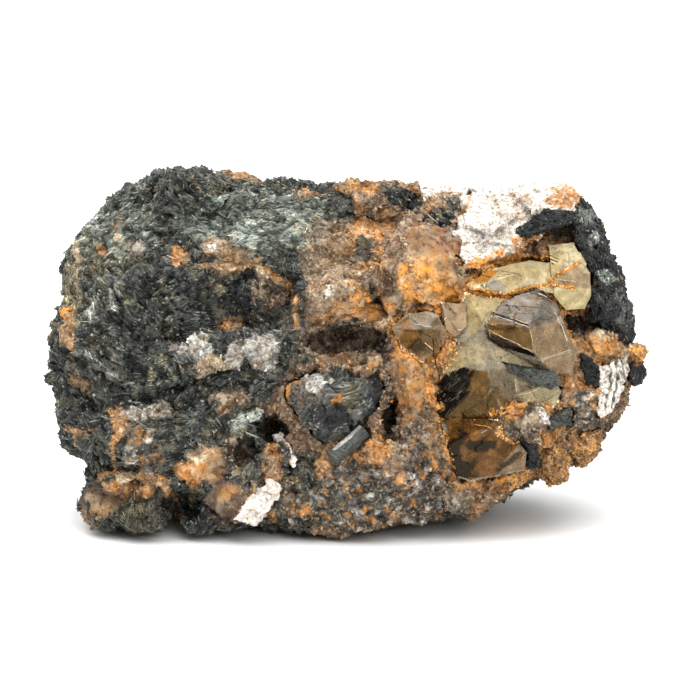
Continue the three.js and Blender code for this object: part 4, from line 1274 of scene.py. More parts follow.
@dataclass
class RockBody:
    """The matrix: felted amphibole on the left and behind, rusty crust in the middle and right.

    Lumps and grit have a width and a height in mm, and a tilt.
    """

    voxel_mm: float = 0.42
    kept_share: float = 0.5
    crystals_start_u: float = 4.0
    crust_lumps: tuple[float, float, float] = (2.8, 0.42, 0.34)
    crust_grit: tuple[float, float, float] = (1.3, 0.22, 0.34)
    felt_lumps: tuple[float, float, float] = (2.6, 0.34, 0.3)
    felt_grit: tuple[float, float, float] = (1.2, 0.16, 0.34)
    gap_mm: float = 0.6
    gap_shade: float = 0.65
    rim_mm: float = 0.35
    rim_rust: float = 0.85
    bundles: Bundles = field(default_factory=Bundles)
    finish: MineralFinish = MineralFinish("felted_amphibole_with_limonite_crust")

    def ground(self, points: np.ndarray, view: np.ndarray) -> tuple[np.ndarray, np.ndarray]:
        """Makes the colour and felt that lie under all marks.

        Args:
            points: The rock's points in mm of the frame.
            view: Their u, v and w.

        Returns:
            Each point's linear colour and its share of felt.
        """
        front = VIEW.frontness(view)
        side = np.clip((view[:, 0] + 5.0) / 6.0, -1.0, 1.0)
        rust = fade(waves(points / 9.0, 5, 3) + front * side * 0.8 - (1 - front) * 0.1, -0.05, 0.3)
        brown = fade(waves(points / 4.5, 6, 2), -0.4, 0.2)
        felt_tone, ochre, crust = rgb(Tone.FELT), rgb(Tone.OCHRE), rgb(Tone.CRUST)
        crust = ochre + (crust - ochre) * brown[:, None]
        return felt_tone + (crust - felt_tone) * rust[:, None], 1 - rust

    def weather(self, points: np.ndarray, tone: np.ndarray, felt: np.ndarray) -> None:
        """Varies the colours in lumps of a few mm and in spots of about 1 mm.

        Args:
            points: The rock's points in mm of the frame.
            tone: Their linear colours, changed in place.
            felt: Their share of felt.
        """
        pepper = within(points, PEPPER_PLACES)
        for wanted, kinds in ((1 - felt, CRUST_SPOTS), (pepper, PEPPER_SPOTS), (felt, FELT_SPOTS)):
            for spots in kinds:
                spots.lay(points, tone, wanted)
        tone *= np.exp(0.34 * waves(points / 4.2, 27, 2) + 0.4 * felt * waves(points / 1.4, 29))[:, None]

    def beside_crystals(self, points: np.ndarray, view: np.ndarray) -> np.ndarray:
        """Finds where the rock touches a crystal.

        Args:
            points: The rock's points in mm of the frame.
            view: Their u, v and w.

        Returns:
            1 for each point that touches one, fading to 0 a little away from it.
        """
        rim = np.zeros(len(points))
        close = view[:, 0] > self.crystals_start_u
        for node in CRYSTALS:
            away = np.abs(Border(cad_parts[node]).outside(points[close]))
            rim[close] = np.maximum(rim[close], fade(away, 1.3, 0.5))
        return rim * fade(waves(points / 1.8, 36, 2), -0.6, 0.1)

    def build(self) -> bpy.types.Object:
        """Builds the rock.

        Returns:
            The rock's piece.
        """
        rock = copy_of("matrix", "rock_body")
        finish_with(rock, "REMESH", mode="VOXEL", voxel_size=self.voxel_mm * MM)
        finish_with(rock, "SMOOTH", factor=0.5, iterations=2)
        points, normals = points_of(rock), normals_of(rock)
        view = VIEW.to_view(points)
        tone, felt = self.ground(points, view)
        sink = paint(view, tone, felt, ROCK_MARKS)
        self.weather(points, tone, felt)
        directions, edge = self.bundles.directions(points)
        strands = strand_places(points, directions, self.bundles.stretch)
        calm = within(points, CALM_PLACES)
        rim = self.beside_crystals(points, view)
        warm = rgb(Tone.OCHRE_BRIGHT) * np.exp(0.3 * waves(points / 0.9, 37, 2))[:, None]
        tint(tone, warm, self.rim_rust * rim)
        felt *= 1 - rim
        crust = (1 - felt) * (1 - 0.8 * calm)
        height = crust * broken(points, *self.crust_lumps, 100) - sink
        height += crust * broken(points, *self.crust_grit, 120)
        height += felt * (broken(points, *self.felt_lumps, 150) + broken(points, *self.felt_grit, 160))
        height += felt * (0.28 * waves(strands / 0.9, 140, 2) + 0.4 * waves(points / 3.4, 145, 2))
        gap = felt * np.maximum(fade(edge, 0.5, 0.0), fade(waves(points / 0.8, 170), 0.4, 0.75))
        height -= self.gap_mm * gap
        tone *= (1 - self.gap_shade * gap)[:, None]
        height += self.rim_mm * rim
        height *= 0.25 + 0.75 * fade(points[:, 2], 0.2, 1.6)
        move_points(rock, in_box(points + normals * height[:, None]))
        keep_values(rock, "tone", tone)
        keep_values(rock, "felt", felt)
        keep_values(rock, "calm", calm)
        keep_values(rock, "strand", strands)
        finish_with(rock, "DECIMATE", ratio=self.kept_share)
        move_points(rock, in_box(points_of(rock)))
        put_in_place(rock, self.finish.material(), "rock", "matrix")
        return rock


def in_box(points: np.ndarray) -> np.ndarray:
    """Keeps points within the solids' box, give or take the reach of a grain, and off the floor."""
    low, high = (np.array(corner) / MM for corner in CAD_BOX)
    reach = 0.7
    return np.clip(points, (low[0] - reach, low[1] - reach, 0.0), high + reach)


@dataclass(frozen=True)
class Seats:
    """Places where small shapes are set, each with the direction that is out or up there."""

    places: np.ndarray
    normals: np.ndarray


@dataclass(frozen=True)
class Ground(Seats):
    """Random places on a piece, with the colour that it has there."""

    tone: np.ndarray


def strewn_over(
    piece: bpy.types.Object, count: int, wanted: np.ndarray, rng: np.random.Generator,
) -> Ground:
    """Picks random places on a piece.

    Args:
        piece: The piece.
        count: How many places.
        wanted: How much each of the piece's points is wanted, from 0 to 1.
        rng: The run of random numbers.

    Returns:
        The places.
    """
    mesh = piece.data
    mesh.calc_loop_triangles()
    flat = np.empty(len(mesh.loop_triangles) * 3, dtype=np.int32)
    mesh.loop_triangles.foreach_get("vertices", flat)
    corners = flat.reshape(-1, 3)
    points, normals = points_of(piece), normals_of(piece)
    tone = np.empty(len(points) * 4, dtype=np.float32)
    mesh.attributes["tone"].data.foreach_get("color", tone)
    sides = points[corners]
    area = np.linalg.norm(np.cross(sides[:, 1] - sides[:, 0], sides[:, 2] - sides[:, 0]), axis=1)
    heap = np.cumsum(area * wanted[corners].mean(axis=1))
    chosen = np.searchsorted(heap, rng.random(count) * heap[-1])
    share = rng.dirichlet((1.0, 1.0, 1.0), count)[:, :, None]
    at = corners[chosen]
    return Ground(
        places=np.sum(points[at] * share, axis=1),
        normals=unit(np.sum(normals[at] * share, axis=1)),
        tone=np.sum(tone.reshape(-1, 4)[at][:, :, :3] * share, axis=1),
    )


GEM_CORNERS = np.array([
    (0.5, 0, 0), (-0.5, 0, 0), (0, 0.5, 0), (0, -0.5, 0), (0, 0, 0.5), (0, 0, -0.5),
])
GEM_FACES = np.array([
    (0, 2, 4), (2, 1, 4), (1, 3, 4), (3, 0, 4), (2, 0, 5), (1, 2, 5), (3, 1, 5), (0, 3, 5),
])
PRISM_CORNERS = np.array([
    (end, 0.58 * math.cos(math.radians(turn)), 0.58 * math.sin(math.radians(turn)))
    for end in (-0.5, 0.5) for turn in (90, 210, 330)
])
PRISM_FACES = np.array([(0, 2, 1), (3, 4, 5)] + [
    face for i, j in ((0, 1), (1, 2), (2, 0)) for face in ((i, j, i + 3), (j, j + 3, i + 3))
])


def joined(name: str, corners: np.ndarray, faces: np.ndarray, tone: np.ndarray) -> bpy.types.Object:
    """Makes one piece of many small shapes that are alike in their faces.

    Args:
        name: The piece's name.
        corners: Each shape's corners in mm.
        faces: The faces that all the shapes share.
        tone: Each shape's linear colour.

    Returns:
        The new piece.
    """
    count, size, sides = len(corners), corners.shape[1], faces.shape[1]
    mesh = bpy.data.meshes.new(name)
    mesh.vertices.add(count * size)
    mesh.vertices.foreach_set("co", (corners * MM).astype(np.float32).ravel())
    loops = (faces[None] + (np.arange(count) * size)[:, None, None]).ravel()
    mesh.loops.add(len(loops))
    mesh.loops.foreach_set("vertex_index", loops.astype(np.int32))
    mesh.polygons.add(count * len(faces))
    mesh.polygons.foreach_set("loop_start", np.arange(0, len(loops), sides, dtype=np.int32))
    mesh.update(calc_edges=True)
    mesh.validate()
    piece = bpy.data.objects.new(name, mesh)
    bpy.context.scene.collection.objects.link(piece)
    keep_values(piece, "tone", np.repeat(tone, size, axis=0))
    return piece


def placed(
    seats: Seats, axes: np.ndarray, sizes: np.ndarray, lift: np.ndarray, shape: np.ndarray,
) -> np.ndarray:
    """Sets a small shape on each place.

    Args:
        seats: The places.
        axes: The direction of each shape's length.
        sizes: Each shape's length, width and thickness in mm.
        lift: How far each shape's middle stands off its place in mm.
        shape: Each shape's corners, as shares of its sizes.

    Returns:
        Each shape's corners in mm.
    """
    side = unit(np.cross(seats.normals, axes))
    top = np.cross(axes, side)
    middle = seats.places + seats.normals * lift[:, None]
    scaled = shape * sizes[:, None, :]
    corners = (
        middle[:, None] + scaled[:, :, 0:1] * axes[:, None] + scaled[:, :, 1:2] * side[:, None]
        + scaled[:, :, 2:3] * top[:, None]
    )
    return in_box(corners.reshape(-1, 3)).reshape(corners.shape)


@dataclass
class Needles:
    """Fine amphibole needles that lie felted on a piece, half sunk into it."""

    name: str
    count: int
    length_mm: tuple[float, float] = (0.6, 1.8)
    width_mm: tuple[float, float] = (0.16, 0.34)
    rise_deg: float = 3.0
    stray: float = 0.22
    seed: int = 1

    def strew(
        self, piece: bpy.types.Object, wanted: np.ndarray,
        directions: Callable[[np.ndarray], np.ndarray], material: bpy.types.Material, slot: str,
    ) -> bpy.types.Object:
        """Strews needles over a piece.

        Args:
            piece: The piece that they lie on.
            wanted: How much each of its points wants needles.
            directions: A function that gives the strand direction at places.
            material: The needles' material.
            slot: A slot name, passed on to put_in_place.

        Returns:
            The needles as one piece.
        """
        rng = np.random.default_rng(self.seed)
        ground = strewn_over(piece, self.count, wanted, rng)
        count = self.count
        along = directions(ground.places)
        flat = along - ground.normals * np.sum(along * ground.normals, axis=1, keepdims=True)
        flat = unit(flat + 1e-3) + self.stray * rng.normal(size=(count, 3))
        flat = unit(flat - ground.normals * np.sum(flat * ground.normals, axis=1, keepdims=True))
        rise = np.radians(rng.normal(0.0, self.rise_deg, count))[:, None]
        axes = flat * np.cos(rise) + ground.normals * np.sin(rise)
        low, high = self.length_mm
        length = low + (high - low) * rng.random(count) ** 2
        width = self.width_mm[0] + (self.width_mm[1] - self.width_mm[0]) * rng.random(count) ** 1.5
        sizes = np.column_stack((length, width, width * (0.6 + 0.6 * rng.random(count))))
        taper = np.where(PRISM_CORNERS[None, :, 0:1] > 0, 0.3 + 0.6 * rng.random((count, 1, 1)), 1.0)
        shape = np.concatenate((
            PRISM_CORNERS[None, :, 0:1] + 0.06 * rng.normal(size=(count, 6, 1)),
            PRISM_CORNERS[None, :, 1:] * taper,
        ), axis=2)
        corners = placed(ground, axes, sizes, width * (0.34 * rng.random(count) - 0.2), shape)
        tone = ground.tone * np.exp(rng.normal(0.0, 0.6, count))[:, None]
        kind = rng.random(count)
        # About one needle in twenty takes pale green as a painted glint, and one in twenty takes fibre
        # tan.
        for other, low, high in ((Tone.PALE_GREEN, 0.0, 0.05), (Tone.FIBRE_TAN, 0.05, 0.1)):
            chosen = (kind >= low) & (kind < high)
            own = rgb(other) * (0.5 + 0.7 * rng.random((chosen.sum(), 1)))
            tone[chosen] = 0.45 * tone[chosen] + 0.55 * own
        needles = joined(self.name, corners, PRISM_FACES, np.clip(tone, 0.0, 0.9))
        put_in_place(needles, material, slot)
        return needles


@dataclass
class Grains:
    """Angular grains, half sunk into a piece and coloured mostly as it is."""

    name: str
    count: int
    size_mm: tuple[float, float] = (0.3, 1.15)
    flatness: float = 0.6
    spread: float = 0.32
    kinds: tuple[tuple[Tone, float], ...] = (
        (Tone.GRAY_TAN, 0.12), (Tone.CREAM, 0.06), (Tone.BROWN, 0.12), (Tone.OCHRE, 0.08),
        (Tone.FELT_DARK, 0.04),
    )
    seed: int = 1

    def strew(
        self, piece: bpy.types.Object, wanted: np.ndarray, material: bpy.types.Material, slot: str,
    ) -> bpy.types.Object:
        """Strews grains over a piece.

        Args:
            piece: The piece that they lie on.
            wanted: How much each of its points wants grains.
            material: The grains' material.
            slot: A slot name, passed on to put_in_place.

        Returns:
            The grains as one piece.
        """
        rng = np.random.default_rng(self.seed)
        ground = strewn_over(piece, self.count, wanted, rng)
        count = self.count
        axes = unit(rng.normal(size=(count, 3)))
        low, high = self.size_mm
        size = low + (high - low) * rng.random(count) ** 2.4
        sizes = size[:, None] * (1 - (1 - self.flatness) * rng.random((count, 3)))
        shape = GEM_CORNERS[None] + 0.13 * rng.normal(size=(count, 6, 3))
        corners = placed(ground, axes, sizes, size * (0.16 * rng.random(count) - 0.02), shape)
        tone = ground.tone * np.exp(rng.normal(0.0, self.spread, count))[:, None]
        kind = rng.random(count)
        start = 0.0
        for other, share in self.kinds:
            chosen = (kind >= start) & (kind < start + share)
            tone[chosen] = 0.35 * tone[chosen] + 0.65 * rgb(other)
            start += share
        grains = joined(self.name, corners, GEM_FACES, np.clip(tone, 0.0, 0.9))
        put_in_place(grains, material, slot)
        return grains


class Border:
    """The skin of a piece, such as the rock, that tells how far other places are from it."""

    def __init__(self, piece: bpy.types.Object) -> None:
        """Sorts the piece's faces, so that distances to it are quickly found."""
        mesh = piece.data
        self.tree = BVHTree.FromPolygons(
            [vertex.co for vertex in mesh.vertices], [face.vertices for face in mesh.polygons]
        )

    def outside(self, points: np.ndarray) -> np.ndarray:
        """Gives how far points in mm are outside the piece, below 0 where they are in it."""
        away = np.empty(len(points))
        for i, point in enumerate(points * MM):
            place, normal, _, distance = self.tree.find_nearest(point)
            inward = (point[0] - place[0]) * normal[0] + (point[1] - place[1]) * normal[1]
            inward += (point[2] - place[2]) * normal[2]
            away[i] = math.copysign(distance, inward) / MM
        return away

    def front_at(self, flat: np.ndarray) -> tuple[np.ndarray, np.ndarray]:
        """Finds the skin's front.

        Args:
            flat: The u and v of each place that is wanted.

        Returns:
            Each place on the skin in mm of the frame, and the outward direction there.
        """
        ahead = Vector(VIEW.turn_to_frame((0.0, 0.0, 1.0)))
        start = VIEW.to_frame(np.column_stack((flat, np.full(len(flat), -VIEW.height)))) * MM
        hits = [self.tree.ray_cast(Vector(point), ahead) for point in start]
        seen = [(hit[0], hit[1]) if hit[0] else (Vector(point), ahead) for hit, point in zip(hits, start)]
        return np.array([place for place, _ in seen]) / MM, np.array([normal for _, normal in seen])

    def along(self, points: np.ndarray, normals: np.ndarray, reach_mm: float) -> np.ndarray:
        """Finds where a piece touches the rock's edge.

        Args:
            points: The piece's points in mm of the frame.
            normals: Their outward directions.
            reach_mm: How far from the edge counts.

        Returns:
            1 for each point at the edge, fading to 0 at the reach.
        """
        near = fade(np.abs(self.outside(points)), reach_mm, 0.3 * reach_mm)
        return near * fade(self.outside(points + 1.4 * normals), 0.1, 0.6)


@dataclass
class GrownPiece:
    """An opaque crystal or mass that has grown in the rock, broken and roughened all over."""

    node: str
    name: str
    slot: str
    tone: Tone
    felt: float = 0.0
    voxel_mm: float = 0.28
    lie: tuple[float, float, float] = (0.0, 1.0, 0.0)
    strand_depth_mm: float = 0.25
    strand_width_mm: float = 0.9
    facets: tuple[tuple[float, float, float], ...] = ()
    marks: tuple[Mark, ...] = ()
    rust: float = 0.8
    uneven: float = 0.25
    seed: int = 200

    def build(self, material: bpy.types.Material, border: Border) -> bpy.types.Object:
        """Builds the piece.

        Args:
            material: Its material.
            border: The rock's edge, along which the piece is stained.

        Returns:
            The piece.
        """
        piece = copy_of(self.node, self.name)
        finish_with(piece, "REMESH", mode="VOXEL", voxel_size=self.voxel_mm * MM)
        points, normals = points_of(piece), normals_of(piece)
        view = VIEW.to_view(points)
        tone = np.tile(rgb(self.tone), (len(points), 1))
        felt = np.full(len(points), float(self.felt))
        sink = paint(view, tone, felt, self.marks)
        tone *= np.exp(self.uneven * waves(points / 2.2, self.seed + 9, 2))[:, None]
        edge = border.along(points, normals, 0.7) * fade(waves(points / 1.6, self.seed + 8, 2), -0.5, 0.3)
        tint(tone, Tone.OCHRE, self.rust * edge)
        felt -= 0.8 * felt * edge
        bent = np.column_stack([waves(points / 4.0, self.seed + i) for i in range(3)])
        directions = np.tile(VIEW.turn_to_frame(self.lie), (len(points), 1))
        strands = strand_places(points + bent, directions, 9.0)
        height = self.strand_depth_mm * waves(strands / self.strand_width_mm, self.seed + 5, 2) - sink
        for i, (size, depth, tilt) in enumerate(self.facets):
            height += broken(points, size, depth, tilt, self.seed + 20 * i)
        move_points(piece, in_box(points + normals * height[:, None]))
        keep_values(piece, "tone", tone)
        keep_values(piece, "felt", felt)
        keep_values(piece, "strand", strands)
        put_in_place(piece, material, self.slot, self.node)
        return piece


@dataclass
class TitaniteCrystal:
    """A clear crystal with flat faces, chipped edges and grooves along its cleavage.

    The chips have a width and a height in mm, and a tilt.
    """

    node: str
    name: str
    tone: Tone
    marks: tuple[Mark, ...] = ()
    longest_mm: float = 0.3
    groove: tuple[float, float, float] = (0.42, 0.9, 0.0)
    groove_mm: float = 1.5
    groove_depth_mm: float = 0.06
    chips: tuple[float, float, float] = (4.6, 0.14, 0.07)
    ripple_mm: float = 0.03
    inset_mm: float = 0.08
    smooth_deg: float = 14.0
    seed: int = 400

    def deepen(self, points: np.ndarray, tone: np.ndarray) -> None:
        """Mottles the brown depths lighter and darker at random, and paints ochre glints of light into
        them.

        Args:
            points: The crystal's points in mm of the frame.
            tone: Their linear colours, changed in place.
        """
        value = tone.max(axis=1)
        brown = fade(value, 0.008, 0.03) * fade(value, 0.45, 0.2)
        tone *= np.exp((0.2 + 0.55 * brown) * waves(points / 1.5, self.seed + 12, 3))[:, None]
        # Painted glints: ochre spots of light in the brown depths.
        gold = 0.75 * brown * fade(waves(points / 0.9, self.seed + 13, 2), 0.4, 0.75)
        tint(tone, Tone.OCHRE, gold)

    def build(self, material: bpy.types.Material, border: Border) -> tuple[bpy.types.Object, np.ndarray]:
        """Builds the crystal.

        Args:
            material: Its material.
            border: The rock's edge, along which the crystal is stained.

        Returns:
            The crystal, and how much each of its points lies along the rock's edge.
        """
        crystal = copy_of(self.node, self.name)
        refine(crystal, self.longest_mm)
        points, normals = points_of(crystal), normals_of(crystal)
        view = VIEW.to_view(points)
        tone = np.tile(rgb(self.tone), (len(points), 1))
        sink = paint(view, tone, np.zeros(len(points)), self.marks)
        self.deepen(points, tone)
        edge = border.along(points, normals, 0.8)
        for mark in self.marks:
            if isinstance(mark, Stroke) and mark.tone is Tone.OCHRE_BRIGHT:
                vein = mark.cover(view, np.zeros(len(view))) * VIEW.frontness(view)
                edge = np.maximum(edge, vein)
        rust = edge * fade(waves(points / 1.4, self.seed + 8, 2), -0.4, 0.3)
        tint(tone, Tone.OCHRE_BRIGHT, 0.8 * rust)
        along = VIEW.turn_to_frame(self.groove)
        rise = points @ along / self.groove_mm + 0.7 * waves(points / 6.0, self.seed)
        step = rise - np.floor(rise)
        groove = fade(waves(points / 5.0, self.seed + 3), -0.1, 0.3)
        height = -self.groove_depth_mm * step * groove - sink
        height += broken(points, *self.chips, self.seed + 10)
        height += self.ripple_mm * waves(points / 1.1, self.seed + 4, 2) - self.inset_mm
        move_points(crystal, in_box(points + normals * height[:, None]))
        keep_values(crystal, "tone", tone)
        only(crystal)
        bpy.ops.object.shade_smooth_by_angle(angle=math.radians(self.smooth_deg))
        put_in_place(crystal, material, "titanite", self.node)
        return crystal, edge


@dataclass
class HealedCracks:
    """Pale and rusty flakes inside a crystal, where cracks have healed in nearly level sheets."""

    name: str
    count: int
    size_mm: tuple[float, float] = (0.3, 1.7)
    depth_mm: tuple[float, float] = (0.3, 2.6)
    sheet_mm: float = 2.1
    gathered: float = 0.8
    cover_mm: float = 0.05
    seed: int = 30

    def scatter(
        self, crystal: bpy.types.Object, wanted: np.ndarray, material: bpy.types.Material,
    ) -> bpy.types.Object:
        """Scatters flakes inside a crystal.

        Args:
            crystal: The crystal.
            wanted: How much each of its points wants flakes under it.
            material: The flakes' material.

        Returns:
            The flakes as one piece.
        """
        rng = np.random.default_rng(self.seed)
        ground = strewn_over(crystal, self.count, wanted, rng)
        count = self.count
        low, high = self.depth_mm
        inside = ground.places - ground.normals * (low + (high - low) * rng.random(count) ** 1.5)[:, None]
        level = unit(VIEW.turn_to_frame((0.45, 0.8, 0.5))[None] + 0.1 * rng.normal(size=(count, 3)))
        rise = np.sum(inside * level, axis=1)
        above_sheet = rise - self.sheet_mm * np.round(rise / self.sheet_mm)
        inside -= level * (self.gathered * above_sheet)[:, None]
        axes = unit(np.cross(level, rng.normal(size=(count, 3))))
        least, most = self.size_mm
        size = least + (most - least) * rng.random(count) ** 2
        sizes = np.column_stack((size, size * (0.4 + 0.5 * rng.random(count)), 0.08 * size))
        shape = GEM_CORNERS[None] + 0.1 * rng.normal(size=(count, 6, 3))
        corners = placed(Seats(inside, level), axes, sizes, np.zeros(count), shape)
        outside = Border(crystal).outside(corners.reshape(-1, 3)).reshape(count, 6)
        sunk = np.max(outside, axis=1) < -self.cover_mm
        kind = rng.random(count)[:, None]
        tone = np.where(kind < 0.75, np.clip(1.3 * ground.tone + 0.01, 0.0, 0.8), linear(Tone.CREAM)[:3])
        tone = np.where(kind > 0.84, linear(Tone.OCHRE_BRIGHT)[:3], tone)
        tone = np.where(kind > 0.93, linear(Tone.UMBER)[:3], tone)
        flakes = joined(self.name, corners[sunk], GEM_FACES, tone[sunk])
        put_in_place(flakes, material, "titanite")
        return flakes


@dataclass
class Hairlines:
    """Fine cracks and painted edge highlights of a crystal, laid on it as thin splinters end to end."""

    name: str
    lines: tuple[Hairline, ...]
    step_mm: float = 0.4
    sway_mm: float = 0.07
    gap_mm: float = 0.8
    lift_mm: float = 0.02

    def splinters(self, skin: Border, line: Hairline, ends: tuple) -> np.ndarray:
        """Makes the splinters between two places of a hairline.

        Args:
            skin: The crystal's skin.
            line: The hairline.
            ends: The u and v of both places.

        Returns:
            Each splinter's corners in mm. A step that would leap over a gap has none.
        """
        first, last = ends
        steps = max(1, round(math.dist(first, last) / self.step_mm))
        share = np.arange(steps + 1)[:, None] / steps
        flat = np.array(first) + share * np.subtract(last, first)
        view = np.column_stack((flat, np.zeros(len(flat))))
        flat += self.sway_mm * np.column_stack((waves(view / 0.7, 61), waves(view / 0.7, 62)))
        places, normals = skin.front_at(flat)
        run = places[1:] - places[:-1]
        length = np.linalg.norm(run, axis=1)
        thick = line.width * (0.7 + 0.5 * dice(np.round(places[1:] * 20), 63))
        seats = Seats((places[1:] + places[:-1]) / 2, unit(normals[1:]))
        sizes = np.column_stack((1.1 * length, thick, 0.5 * thick))
        lift = self.lift_mm * np.ones(steps)
        corners = placed(seats, unit(run), sizes, lift, PRISM_CORNERS[None])
        return corners[length < self.gap_mm]

    def draw(self, crystal: bpy.types.Object, material: bpy.types.Material) -> None:
        """Lays the hairlines on a crystal."""
        skin = Border(crystal)
        shapes, tones = [], []
        for line in self.lines:
            for ends in zip(line.line, line.line[1:]):
                corners = self.splinters(skin, line, ends)
                shapes.append(corners)
                tones.append(np.tile(linear(line.tone)[:3], (len(corners), 1)))
        piece = joined(self.name, np.concatenate(shapes), PRISM_FACES, np.concatenate(tones))
        put_in_place(piece, material, "titanite")


class Specimen:
    """The whole specimen: rock, crystals, masses, needles and grains."""

    def __init__(self) -> None:
        """Makes the finishes that several pieces share."""
        self.needle = GrainFinish("amphibole_needles", roughness=0.45).material()
        self.grain = GrainFinish("limonite_grains", roughness=0.85).material()
        self.sugar = GrainFinish("feldspar_grains", roughness=0.5).material()
        self.flake = GrainFinish("healed_cracks", roughness=0.4, gloss=0.15).material()
        self.ink = GrainFinish("grown_in_fibres", roughness=0.55, gloss=0.12).material()
        self.black = MineralFinish(
            "black_amphibole", streak_mm=0.2, roughness=0.5, relief_mm=0.14, gloss=0.22,
            speck=Tone.OCHRE, glint=Tone.FELT,
        ).material()
        self.banded = MineralFinish(
            "banded_amphibole", streak_mm=0.45, roughness=0.6, glint=Tone.GRAY_WHITE, speck=Tone.OCHRE,
        ).material()
        self.white = MineralFinish(
            "sugary_feldspar", grain_mm=0.55, crust_roughness=0.5, pit_shade=0.5, relief_mm=0.2,
            earth=Tone.PINK, stain=Tone.GRAY_WHITE, speck=Tone.WHITE, shade=Tone.GRAY_TAN,
        ).material()

    def build_rock(self) -> Border:
        """Builds the rock with its needles and grains.

        Returns:
            The rock's edge.
        """
        body = RockBody()
        rock = body.build()
        points = points_of(rock)
        felt = np.empty(len(points), dtype=np.float32)
        rock.data.attributes["felt"].data.foreach_get("value", felt)
        front = VIEW.frontness(VIEW.to_view(points))
        open_air = fade(points[:, 2], 0.5, 1.6)
        wanted = fade(felt, 0.5, 0.9) * (0.25 + 0.75 * front) * open_air
        wanted *= 1 - 0.6 * within(points, SMOOTH_FELT)

        def lie(places: np.ndarray) -> np.ndarray:
            """Gives the bundles' direction at places."""
            return body.bundles.directions(places)[0]

        for needles in (
            Needles("felt_needles_long", 7000, (1.0, 2.2), (0.16, 0.36), 2.0, 0.15, seed=3),
            Needles("felt_needles_short", 24000, seed=6),
        ):
            needles.strew(rock, wanted, lie, self.needle, "rock")
        # Black chips are painted shade that stands for the felt's small hollows; the sheen, pale green and
        # gray-white chips are painted glints.
        kinds = (
            (Tone.SHEEN, 0.12), (Tone.PALE_GREEN, 0.08), (Tone.FIBRE_TAN, 0.06), (Tone.BLACK, 0.28),
            (Tone.GRAY_WHITE, 0.04),
        )
        Grains("felt_chips", 17000, (0.25, 0.85), 0.5, 0.6, kinds, seed=12).strew(
            rock, wanted, self.needle, "rock")
        crusty = (1 - felt) * (0.25 + 0.75 * front) * open_air * (1 - 0.95 * within(points, CALM_PLACES))
        Grains("crust_grains", 14000, seed=4).strew(rock, crusty, self.grain, "rock")
        Grains("crust_crumbs", 20000, (0.2, 0.6), seed=8).strew(rock, crusty, self.grain, "rock")
        return Border(rock)

    def build_feldspar(self, border: Border) -> None:
        """Builds the white mass with its sugar of grains, and the white chips."""
        broken_white = ((2.6, 0.3, 0.3), (1.1, 0.16, 0.34))
        mass = GrownPiece(
            "feldspar_mass", "feldspar_mass_surface", "feldspar", Tone.SUGAR, voxel_mm=0.3,
            strand_depth_mm=0.05, facets=broken_white, marks=FELDSPAR_MARKS, uneven=0.08,
        ).build(self.white, border)
        kinds = (
            (Tone.GRAY_WHITE, 0.2), (Tone.PINK, 0.12), (Tone.GRAY_TAN, 0.07), (Tone.OCHRE, 0.03),
            (Tone.WHITE, 0.2),
        )
        Grains("feldspar_sugar", 6500, (0.3, 0.9), spread=0.1, kinds=kinds, seed=9).strew(
            mass, np.ones(len(mass.data.vertices)), self.sugar, "feldspar")
        for node, facets in (("feldspar_chip", broken_white), ("feldspar_sliver", broken_white[1:])):
            GrownPiece(
                node, f"{node}_surface", "feldspar", Tone.WHITE, voxel_mm=0.18, strand_depth_mm=0.05,
                facets=facets, uneven=0.06,
            ).build(self.white, border)

    def build_black(self, border: Border) -> None:
        """Builds the rim with its needles, and the single black crystals."""
        # The sheen patches are painted glints on the rim's needles.
        rim_marks = (
            Patch(40.6, 48.4, 1, 1.4, T.GRAY_WHITE, 0.8, 0, 0.7), Patch(42.6, 42.6, 1.2, 1.6, T.SHEEN, 1),
            Patch(39.6, 52.4, 2, 1.4, T.SHEEN, 1, 30, 0.6), Patch(39.4, 40.6, 1.2, 2.2, T.BROWN, 0.3),
            Patch(44.8, 37, 1.2, 3, T.FELT, 1),
            Stroke(((39.8, 52), (42, 46), (43.2, 38)), 0.6, T.BLACK, 1, 0.7),
        )
        rim = GrownPiece(
            "amphibole_rim", "amphibole_rim_surface", "black_amphibole", Tone.FELT_DARK, 1, 0.34,
            (0.25, -1, 0.1), 0.4, 1.1, ((3.6, 0.5, 0.24), (1.6, 0.2, 0.3)), rim_marks,
        ).build(self.black, border)

        def down(places: np.ndarray) -> np.ndarray:
            """Gives the rim's needles their direction."""
            return np.tile(VIEW.turn_to_frame((0.25, -1, 0.1)), (len(places), 1))

        everywhere = np.ones(len(rim.data.vertices))
        Needles("rim_needles", 4500, (0.5, 1.5), (0.16, 0.4), 4.0, 0.4, seed=5).strew(
            rim, everywhere, down, self.needle, "black_amphibole")
        glints = ((Tone.BLACK, 0.4), (Tone.SHEEN, 0.05), (Tone.FIBRE_TAN, 0.03))
        Grains("rim_chips", 4500, (0.3, 1.1), 0.5, 0.4, glints, seed=13).strew(
            rim, everywhere, self.needle, "black_amphibole")
        for node, lie, tone in (
            ("amphibole_bar", (1, 0.25, 0.2), Tone.BLACK), ("amphibole_rod", (1, -0.3, 0), Tone.FELT),
            ("amphibole_block", (1, 0.1, 0), Tone.FELT),
            ("amphibole_column", (0.2, -1, 0), Tone.FELT_DARK),
            ("amphibole_blade", (0.35, -1, 0), Tone.BLACK), ("amphibole_knob", (0.3, -1, 0.3), Tone.BLACK),
        ):
            piece = GrownPiece(
                node, f"{node}_surface", "black_amphibole", tone, 1, 0.16, lie, 0.16, 0.4,
                ((1.8, 0.14, 0.2), (0.8, 0.08, 0.3)),
            ).build(self.black, border)
            count = 900 if node == "amphibole_bar" else 350
            Grains(f"{node}_chips", count, (0.25, 0.6), 0.5, 0.4, glints, seed=14).strew(
                piece, np.ones(len(piece.data.vertices)), self.needle, "black_amphibole")

